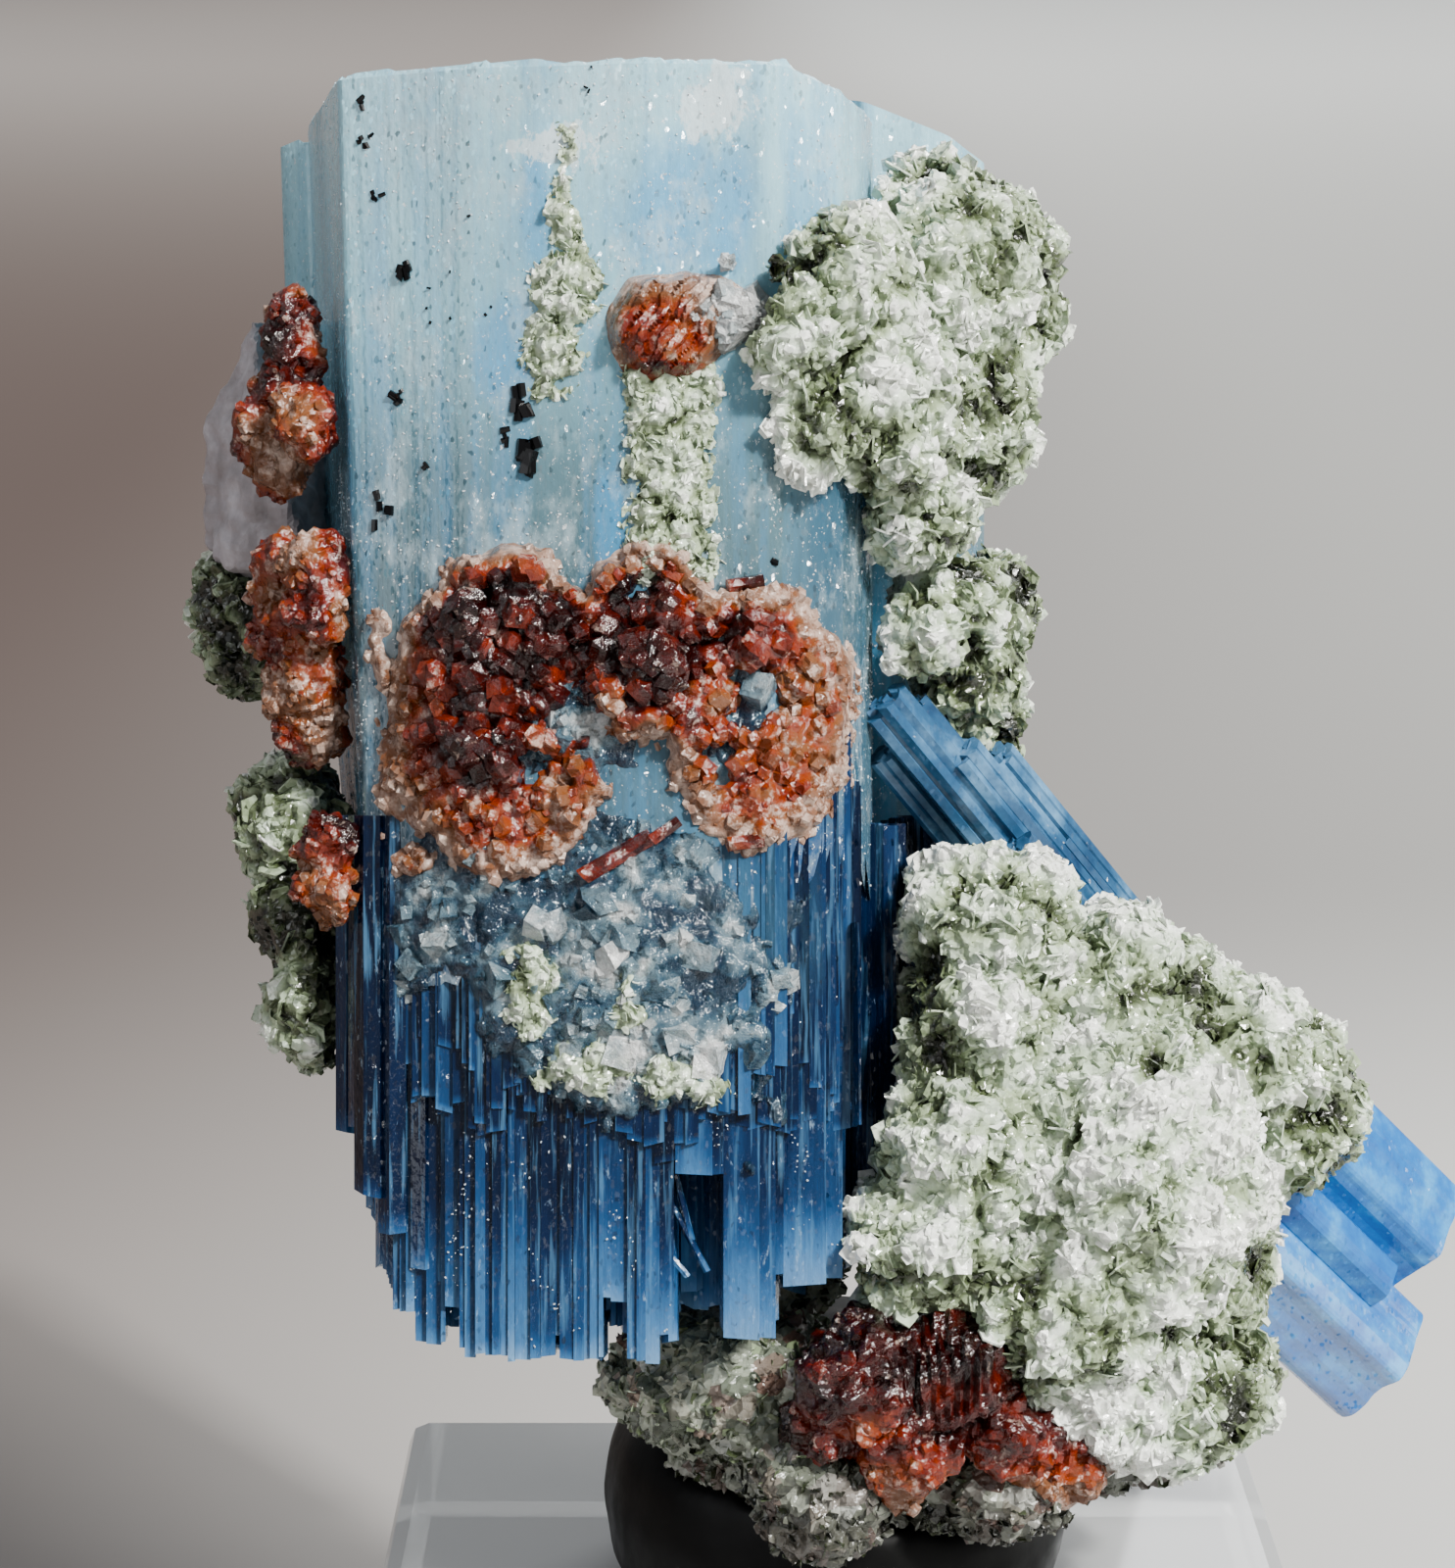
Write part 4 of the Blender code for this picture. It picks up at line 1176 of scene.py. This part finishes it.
for index, node in enumerate(("garnet_left_upper", "garnet_left_lower", "garnet_edge")):
    mass = fine_skin(node + "_mass", node, 0.14, 0.05)
    move_points(mass, lambda p: 0.25 * noise.noise(p / 0.8) + 0.15 * noise.noise(p / 0.3))
    shade_points(mass, lambda p: 0.42 + 0.7 * noise.noise(p / 1.5))
    grains = scattered(
        node + "_grains", mass, garnet_scatter, 42 + index, 7.0, 0.12, 0.5, sink=0.05, shade_spread=0.2
    )
    settle(mass, "garnet", garnet, node)
    settle(grains, "garnet", garnet, node)

# The lowest one is larger and built of thin dark layers, which show as fine upright ridges
LAYERED = ((5.6, -14.3), (1.7, 2.2))
# A spot painted orange: a painted glow where light comes through the lowest garnet
PAINTED_GLOWING = ((3.6, -16.2), (1.0, 0.6))


def layered(point):
    ridge = math.sin(math.tau * (point.x + 0.12 * point.z + 0.2 * noise.noise(point)) / 0.3)
    flat = max(0.0, min(1.0, within(point.x, point.z, *LAYERED) * 2))
    rough = 0.45 * noise.noise(point / 0.7) + 0.3 * abs(noise.noise(point / 0.35))
    return 0.09 * ridge * flat + rough * (1 - 0.9 * flat)


def layered_shade(point):
    painted_glow = within(point.x, point.z, *PAINTED_GLOWING)
    low = between(point.z, (-18.2, 0.75), (-16.8, 0.2), (-14.0, 0.05))
    return max(low, between(painted_glow, (-0.2, 0.0), (0.3, 0.5))) + 0.12 * noise.noise(point / 0.6)


bottom = fine_skin("garnet_bottom_mass", "garnet_bottom", 0.12, 0.12)
shade_points(bottom, layered_shade)
move_points(bottom, layered)
bottom_grains = scattered(
    "garnet_bottom_grains",
    bottom,
    garnet_scatter,
    46,
    3.0,
    0.15,
    0.6,
    density_by_shade=0.95,
    shade_spread=0.15,
)
settle(bottom, "garnet", garnet, "garnet_bottom")
settle(bottom_grains, "garnet", garnet, "garnet_bottom")


# The schorl: little groups of black tourmaline needles on the front, broken short. They are opaque and
# glossy.
schorl = finish(
    "schorl, black tourmaline", Base_Color="#020203", Roughness=0.2, IOR=1.64, Specular_IOR_Level=0.2
)[0]
needles = bmesh.new()
# Place across, place up, longest length, how far they spread and how many
for across, up, longest, spread, count in (
    (-5.15, 9.5, 0.55, 0.22, 7),
    (-4.85, 8.3, 0.6, 0.28, 9),
    (-5.5, 8.5, 0.3, 0.15, 4),
    (-8.2, 13.0, 0.35, 0.2, 5),
    (-8.3, 9.9, 0.25, 0.3, 6),
    (-7.6, 8.0, 0.2, 0.05, 2),
    (1.2, 5.4, 0.25, 0.08, 2),
    (-9.3, 17.2, 0.25, 0.1, 3),
    (-9.2, 16.4, 0.25, 0.25, 5),
    (-8.9, 14.9, 0.2, 0.15, 4),
    (-8.9, 7.0, 0.4, 0.3, 4),
    (-3.5, 17.0, 0.12, 0.4, 3),
    (-6.8, 12.2, 0.12, 1.4, 8),
):
    for _ in range(count):
        middle_point = Vector((across + picks.gauss(0, spread / 2), 0, up + picks.gauss(0, spread)))
        middle_point.y = front_depth(middle_point.x, middle_point.z) - 0.02
        lean_over = picks.gauss(0, 0.4) if longest > 0.3 else picks.uniform(-1.5, 1.5)
        half = Vector((math.sin(lean_over), 0, math.cos(lean_over))) * longest / 2 * picks.uniform(0.4, 1.0)
        thick = picks.uniform(0.2, 0.34) * longest
        add_rod(needles, middle_point - half, middle_point + half, thick, thick, picks)
needle_piece = made("schorl_needles", needles)
settle(needle_piece, "schorl", schorl, "schorl_upper", "schorl_lower")


# The mica: muscovite, grown as rosettes of thin bent plates that stand roughly on edge. The plates are pearly
# and silvery with a yellow-green tint, and they flash where one faces the light. A plate's shade is near 1 on
# the knobs' tops and near 0 in the hollows between them, where painted shade darkens the stone to olive.
mica, tree, shader = finish(
    "muscovite mica", IOR=1.58, Transmission_Weight=0.12, Coat_Weight=0.3, Coat_Roughness=0.1
)
vector = specimen_coordinates(tree)
shade = add_node(tree, "ShaderNodeAttribute", attribute_name="shade").outputs["Fac"]
tint = grain(tree, vector, 0.7, Detail=4.0, Roughness=0.6)
silver_and_painted_shade = ((0.0, "#15190b"), (0.22, "#4a5538"), (0.47, "#98a886"), (0.7, "#c4d4bc"), (1.0, "#fafdf6"))
toned = toned_by(tree, tint, 0.9, shade)
tinted = add_node(tree, "ShaderNodeValToRGB", {"Fac": toned}, silver_and_painted_shade)
tree.links.new(tinted.outputs[0], shader.inputs["Base Color"])
fine = grain(tree, vector, 5.0, Detail=3.0)
gloss = add_node(tree, "ShaderNodeValToRGB", {"Fac": fine}, ((0.35, 0.1), (0.65, 0.24)))
tree.links.new(gloss.outputs[0], shader.inputs["Roughness"])
rough_skin(tree, vector, shader, fine, 0.4, 0.08, 6.0, 1.2)

# A plate is thin, bent and five-sided
PLATE_SIDES, PLATE_HALF_THICK, PLATE_BEND = 5, 0.06, 0.18
plate_bm = bmesh.new()
plate_rings = []
for lift in (-PLATE_HALF_THICK, PLATE_HALF_THICK):
    ring = []
    for side in range(PLATE_SIDES):
        angle = math.tau * side / PLATE_SIDES
        x, y = math.cos(angle), math.sin(angle) * 0.85
        ring.append(plate_bm.verts.new((x, y, lift + PLATE_BEND * x * x)))
    plate_rings.append(ring)
low, high = plate_rings
for i in range(PLATE_SIDES):
    j = (i + 1) % PLATE_SIDES
    plate_bm.faces.new((low[i], low[j], high[j], high[i]))
plate_bm.faces.new(reversed(low))
plate_bm.faces.new(high)
plate_shape = linked("mica plate", plate_bm)
plate_scatter = scatter_tree("mica plates", plate_shape, mica, on_edge=True)


def stray(point):
    """A smoothly varying push, up to about 1 each way."""
    shifts = Vector((9.3, -1.5, -7.9)), Vector((2.1, 5.7, -3.3)), Vector((6.3, 0.2, -2.7))
    return Vector([noise.noise(point + shift) for shift in shifts])


# A crumb is uneven and flattened, with flat faces
crumb_bm = bmesh.new()
bmesh.ops.create_icosphere(crumb_bm, subdivisions=1, radius=1.0)
for vert in crumb_bm.verts:
    vert.co += 0.45 * stray(vert.co * 1.7)
    vert.co.z *= 0.55
crumb_shape = linked("mica crumb", crumb_bm)
crumb_scatter = scatter_tree("mica crumbs", crumb_shape, mica, on_edge=False)


def knobbly(point, size):
    """Knobs with smaller knobs and crumbs on them, from about -0.6 in the hollows to 0.6 on their tops."""
    warp = point + 0.3 * size * stray(point / size)
    coarse = noise.voronoi(warp / size)[0][0]
    small = noise.voronoi(warp / size * 2.4)[0][0]
    crumbs = noise.voronoi(warp / 0.34)[0][0]
    return 0.7 * (0.5 - coarse) + 0.36 * (0.45 - small) + 0.2 * (0.5 - crumbs)


def mica_region(point):
    """How much lighter the mica is at a place: lighter in its middles and darker towards the outer edges."""
    lighter_middle = deepest_in(point.x, point.z, (((10.0, -9.5), (4.0, 4.0)), ((4.2, 12.0), (2.6, 4.2))))
    pale = deepest_in(point.x, point.z, (((6.6, -3.0), (2.2, 2.2)), ((9.8, -16.5), (3.4, 2.4))))
    edge = ((6.0, 0.0), (8.0, 0.18)) if point.z > 0 else ((13.5, 0.0), (15.5, 0.2))
    lighter = between(lighter_middle, (0.0, 0.0), (2.5, 0.16)) + between(pale, (0.0, 0.0), (1.5, 0.45))
    return lighter - between(point.x, *edge)


# The two masses on the left get a lower tone: painted shade on the side away from the light
for index, (node, voxel, size, height, tone) in enumerate(
    (
        ("mica_upper", 0.12, 1.6, 1.15, 0.53),
        ("mica_middle", 0.11, 1.3, 0.9, 0.45),
        ("mica_lower", 0.13, 1.8, 1.3, 0.57),
        ("mica_left_upper", 0.14, 1.4, 0.8, 0.27),
        ("mica_left_lower", 0.14, 1.4, 0.8, 0.25),
    )
):
    mass = fine_skin(node + "_mass", node, voxel, 0.1)
    # Painted shade: darker in the hollows between knobs, lighter on their tops
    shade_points(mass, lambda p: tone + mica_region(p) + 1.7 * knobbly(p, size) + 0.35 * noise.noise(p / 3.5))
    move_points(mass, lambda p: height * knobbly(p, size) - between(p.z, (13.5, 0.0), (16.5, 0.7)))
    layout = {"sink": 0.1, "density_by_shade": 0.4, "shade_spread": 0.22}
    plates = scattered(node + "_plates", mass, plate_scatter, 70 + index, 4.5, 0.2, 0.9, **layout)
    layout = {"sink": 0.03, "density_by_shade": 0.5, "shade_spread": 0.3}
    crumbs = scattered(node + "_crumbs", mass, crumb_scatter, 60 + index, 15.0, 0.1, 0.48, **layout)
    for piece in (mass, plates, crumbs):
        settle(piece, "mica", mica, node)

# Thin mica on the main crystal's front: a seam, a pillar under the upper garnet, and patches between garnets
SEAM = (
    ((-4.1, 15.6), (0.25, 0.7)),
    ((-4.1, 14.2), (0.4, 1.3)),
    ((-4.0, 12.4), (0.95, 1.1)),
    ((-4.4, 10.8), (0.8, 1.2)),
)
PILLAR_MIDDLE, PILLAR_HALF_WIDTH, PILLAR_TOP, PILLAR_FOOT = -1.4, 1.15, 10.6, 5.0
FRINGE = (
    ((-4.9, -5.0), (0.8, 1.6)),
    ((-3.3, -7.0), (1.4, 0.8)),
    ((-1.2, -7.3), (1.2, 0.6)),
    ((-2.5, -5.2), (0.5, 1.4)),
)


def seam_reach(across, up):
    return deepest_in(across, up, SEAM)


def pillar_reach(across, up):
    return min(PILLAR_HALF_WIDTH - abs(across - PILLAR_MIDDLE), PILLAR_TOP - up, up - PILLAR_FOOT)


def fringe_reach(across, up):
    return deepest_in(across, up, FRINGE) + 0.4 * uneven(across, up, 51, 0.8)


for index, (node, reach_in, bounds) in enumerate(
    (
        ("mica_seam", seam_reach, (-5.8, -2.8, 9.2, 16.6)),
        ("mica_pillar", pillar_reach, (-3.0, 0.2, 4.6, 11.2)),
        ("mica_crust", fringe_reach, (-6.2, 0.6, -8.6, -3.0)),
    )
):
    seed = 11 + 3 * index

    def thin_rise(across, up):
        reach = reach_in(across, up) + 0.3 * uneven(across, up, seed, 0.5)
        if reach < 0:
            return NONE_HERE
        lumps = 0.2 * knobs(across, up, 0.55, seed) + 0.12 * knobs(across, up, 0.26, seed + 1)
        lift = 0.2 if reach_in is fringe_reach else 0.0
        return between(reach, (0.0, -0.2), (0.3, lift), (0.8, 0.12 + lift)) + lumps

    # Lighter on the knobs' tops and darker between them: painted shade in the hollows
    def thin_shade(across, up, rise):
        return 0.2 + 0.35 * knobs(across, up, 0.55, seed) + 0.3 * knobs(across, up, 0.26, seed + 1)

    bed = on_front(node + "_bed", *bounds, 0.075, thin_rise, thin_shade)
    plates = scattered(node + "_plates", bed, plate_scatter, 80 + index, 12.0, 0.12, 0.4, shade_spread=0.2)
    crumbs = scattered(node + "_crumbs", bed, crumb_scatter, 84 + index, 16.0, 0.1, 0.34, shade_spread=0.2)
    for piece in (bed, plates, crumbs):
        settle(piece, "mica", mica, node)


# The rubble: broken clear beryl and quartz grown with mica crumbs. It clouds the front below the garnets,
# fills the gaps inside their rings and whitens the upper garnet's corner. It is blocky, glassy and grey-blue,
# and its shade runs from 0, dark, to 1, white.
rubble, tree, shader = finish("clear crystal rubble", Roughness=0.08, IOR=1.56, Transmission_Weight=0.65)
vector = specimen_coordinates(tree)
shade = add_node(tree, "ShaderNodeAttribute", attribute_name="shade").outputs["Fac"]
cast = grain(tree, vector, 1.0, Detail=5.0, Roughness=0.7)
clears = ((0.0, "#1f3d55"), (0.25, "#466c82"), (0.5, "#8eabb8"), (0.75, "#cfdbde"), (1.0, "#fbfdfc"))
toned = toned_by(tree, cast, 1.6, shade)
tinted = add_node(tree, "ShaderNodeValToRGB", {"Fac": toned}, clears)
tree.links.new(tinted.outputs[0], shader.inputs["Base Color"])
rough_skin(tree, vector, shader, cast, 0.8, 0.3, 5.5, 1.2, 0.5)

RUBBLE = (
    ((-2.6, -4.6), (3.5, 4.0)),
    ((-6.8, -3.2), (2.6, 2.2)),
    ((-8.4, -3.4), (1.3, 2.0)),
    ((0.7, -5.2), (0.9, 3.1)),
    ((-3.6, 1.4), (1.6, 1.6)),
    ((0.3, 1.4), (1.1, 1.3)),
    ((-0.1, 11.8), (1.2, 0.8)),
)
BRIGHT = (
    ((0.1, 12.0), (1.2, 0.8)),
    ((-3.9, 1.8), (1.2, 0.9)),
    ((-2.8, -5.6), (0.9, 2.6)),
    ((0.8, -6.4), (0.6, 1.8)),
)


def rubble_reach(across, up):
    ragged = 0.9 * uneven(across, up, 31, 1.3) + 0.4 * uneven(across, up, 32, 0.35)
    return deepest_in(across, up, RUBBLE) + ragged


def rubble_rise(across, up):
    reach = rubble_reach(across, up)
    if reach < 0:
        return NONE_HERE
    blocks = 0.28 * knobs(across, up / 1.6, 0.9, 33, True) + 0.12 * knobs(across, up / 1.3, 0.33, 34, True)
    cap = 0.6 if up > PILLAR_TOP else 0.0
    return between(reach, (0.0, -0.35), (0.5, -0.15), (2.0, -0.02)) + blocks + cap


def rubble_shade(across, up, rise):
    clusters = uneven(across, up, 41, 0.75) + 0.5 * uneven(across, up, 43, 0.3)
    bright = between(deepest_in(across, up, BRIGHT), (-0.7, 0.22), (0.3, 0.5))
    inner = bright + 0.75 * clusters + 0.3 * (rise - 0.1)
    return 0.9 if up > PILLAR_TOP else between(rubble_reach(across, up), (0.0, 0.0), (0.9, 1.0)) * inner


rubble_bed = on_front("crystal_rubble", -9.4, 2.2, -9.8, 13.2, 0.08, rubble_rise, rubble_shade)
settle(rubble_bed, "mica", rubble, "mica_crust")

block_bm = bmesh.new()
bmesh.ops.create_cube(block_bm, size=1.6)
for vert in block_bm.verts:
    vert.co.z *= 1.25
    vert.co += 0.75 * stray(vert.co * 3)
block_shape = linked("crystal block", block_bm)
block_scatter = scatter_tree("crystal blocks", block_shape, rubble, on_edge=False)
for name, seed, density, smallest, largest in (
    ("crystal_blocks", 95, 2.6, 0.25, 0.8),
    ("crystal_chips", 96, 16.0, 0.05, 0.32),
):
    layout = {"sink": 0.25 * smallest, "density_by_shade": 1.0, "shade_spread": 0.25}
    broken = scattered(name, rubble_bed, block_scatter, seed, density, smallest, largest, **layout)
    settle(broken, "mica", rubble, "mica_crust")


# The frost: fine clear splinters of beryl on the main crystal's upper part, and on its front rods, where they
# lie on a thin veil that isn't kept. They are colourless, and each glints where it faces the light.
frost_glass = finish(
    "frost, clear beryl", Base_Color="#f4fbff", Roughness=0.12, IOR=BERYL_IOR, Transmission_Weight=0.5
)[0]
splinter_bm = bmesh.new()
bmesh.ops.create_cube(splinter_bm, size=1.0)
for vert in splinter_bm.verts:
    vert.co = Vector((0.7 * vert.co.x, 0.7 * vert.co.y, 1.3 * vert.co.z))
    vert.co += 0.25 * stray(vert.co * 3)
splinter_shape = linked("frost splinter", splinter_bm)
frost_scatter = scatter_tree("frost", splinter_shape, frost_glass, on_edge=False)
veil_bm = bmesh.new()
for left, right, foot in FRONT_RODS:
    corners = ((left, foot + 0.3), (right, foot + 0.3), (right, ROD_HEAD), (left, ROD_HEAD))
    spots = [(across, front_depth(across, RODS_BEGIN) + 0.27, up) for across, up in corners]
    veil_bm.faces.new([veil_bm.verts.new(spot) for spot in spots])
bmesh.ops.subdivide_edges(veil_bm, edges=veil_bm.edges, cuts=24, use_grid_fill=True)
veil = made("rod veil", veil_bm, lambda p: max(0.0, 2.2 * noise.noise(Vector((p.x, 3, p.z / 2.5)) / 0.7)))
for name, surface, seed, density, largest in (
    ("frosting", column, 97, 14.0, 0.12),
    ("rod_frosting", veil, 98, 22.0, 0.09),
):
    splinters = scattered(name, surface, frost_scatter, seed, density, 0.01, largest, density_by_shade=1.0)
    settle(splinters, "pale aquamarine", frost_glass, "aquamarine_main")


# The foot: a granular mix of feldspar, quartz and mica crumbs that the crystals grew from, darker and
# browner towards its underside. The putty grips it.
matrix, tree, shader = finish(
    "granular feldspar and mica", Roughness=0.22, IOR=1.54, Transmission_Weight=0.15
)
vector = specimen_coordinates(tree)
crumb = add_node(tree, "ShaderNodeTexVoronoi", {"Vector": vector, "Scale": 1.6}).outputs["Color"]
pick = add_node(tree, "ShaderNodeSeparateXYZ", {0: crumb}).outputs["X"]
crumb_colours = ((0.0, "#3a4138"), (0.3, "#727a6a"), (0.6, "#b4bbaa"), (0.85, "#6b5248"), (1.0, "#d3d8ce"))
crumb_colour = add_node(tree, "ShaderNodeValToRGB", {"Fac": pick}, crumb_colours).outputs[0]
height = height_of(tree, vector, -19.0, -15.5)
darker_below = laid_over(tree, crumb_colour, "#2c2422", height, (0.0, 0.7), (1.0, 0.0))
tree.links.new(darker_below, shader.inputs["Base Color"])
fine = grain(tree, vector, 4.0, Detail=4.0)
rough_skin(tree, vector, shader, fine, 0.5, 0.15, 3.5, 1.0)
foot_mass = fine_skin("matrix_mass", "matrix", 0.18, 0.15)
# Painted shade in the hollows between knobs; the plates are also darker towards the underside
shade_points(foot_mass, lambda p: 0.3 + 0.8 * knobbly(p, 1.4) + between(p.z, (-19.0, -0.35), (-15.5, 0.05)))
move_points(foot_mass, lambda p: 0.9 * knobbly(p, 1.4) + 0.1 * noise.noise(p / 0.3))
foot_plates = scattered("matrix_plates", foot_mass, plate_scatter, 90, 5.0, 0.15, 0.5)
foot_crumbs = scattered("matrix_crumbs", foot_mass, crumb_scatter, 91, 6.0, 0.1, 0.45)
settle(foot_mass, "matrix", matrix, "matrix")
settle(foot_plates, "mica", mica, "matrix")
settle(foot_crumbs, "matrix", matrix, "matrix")

# The small shapes and the veil were only there to be copied
for shape in (garnet_shape, plate_shape, crumb_shape, block_shape, splinter_shape, veil):
    bpy.data.objects.remove(shape)
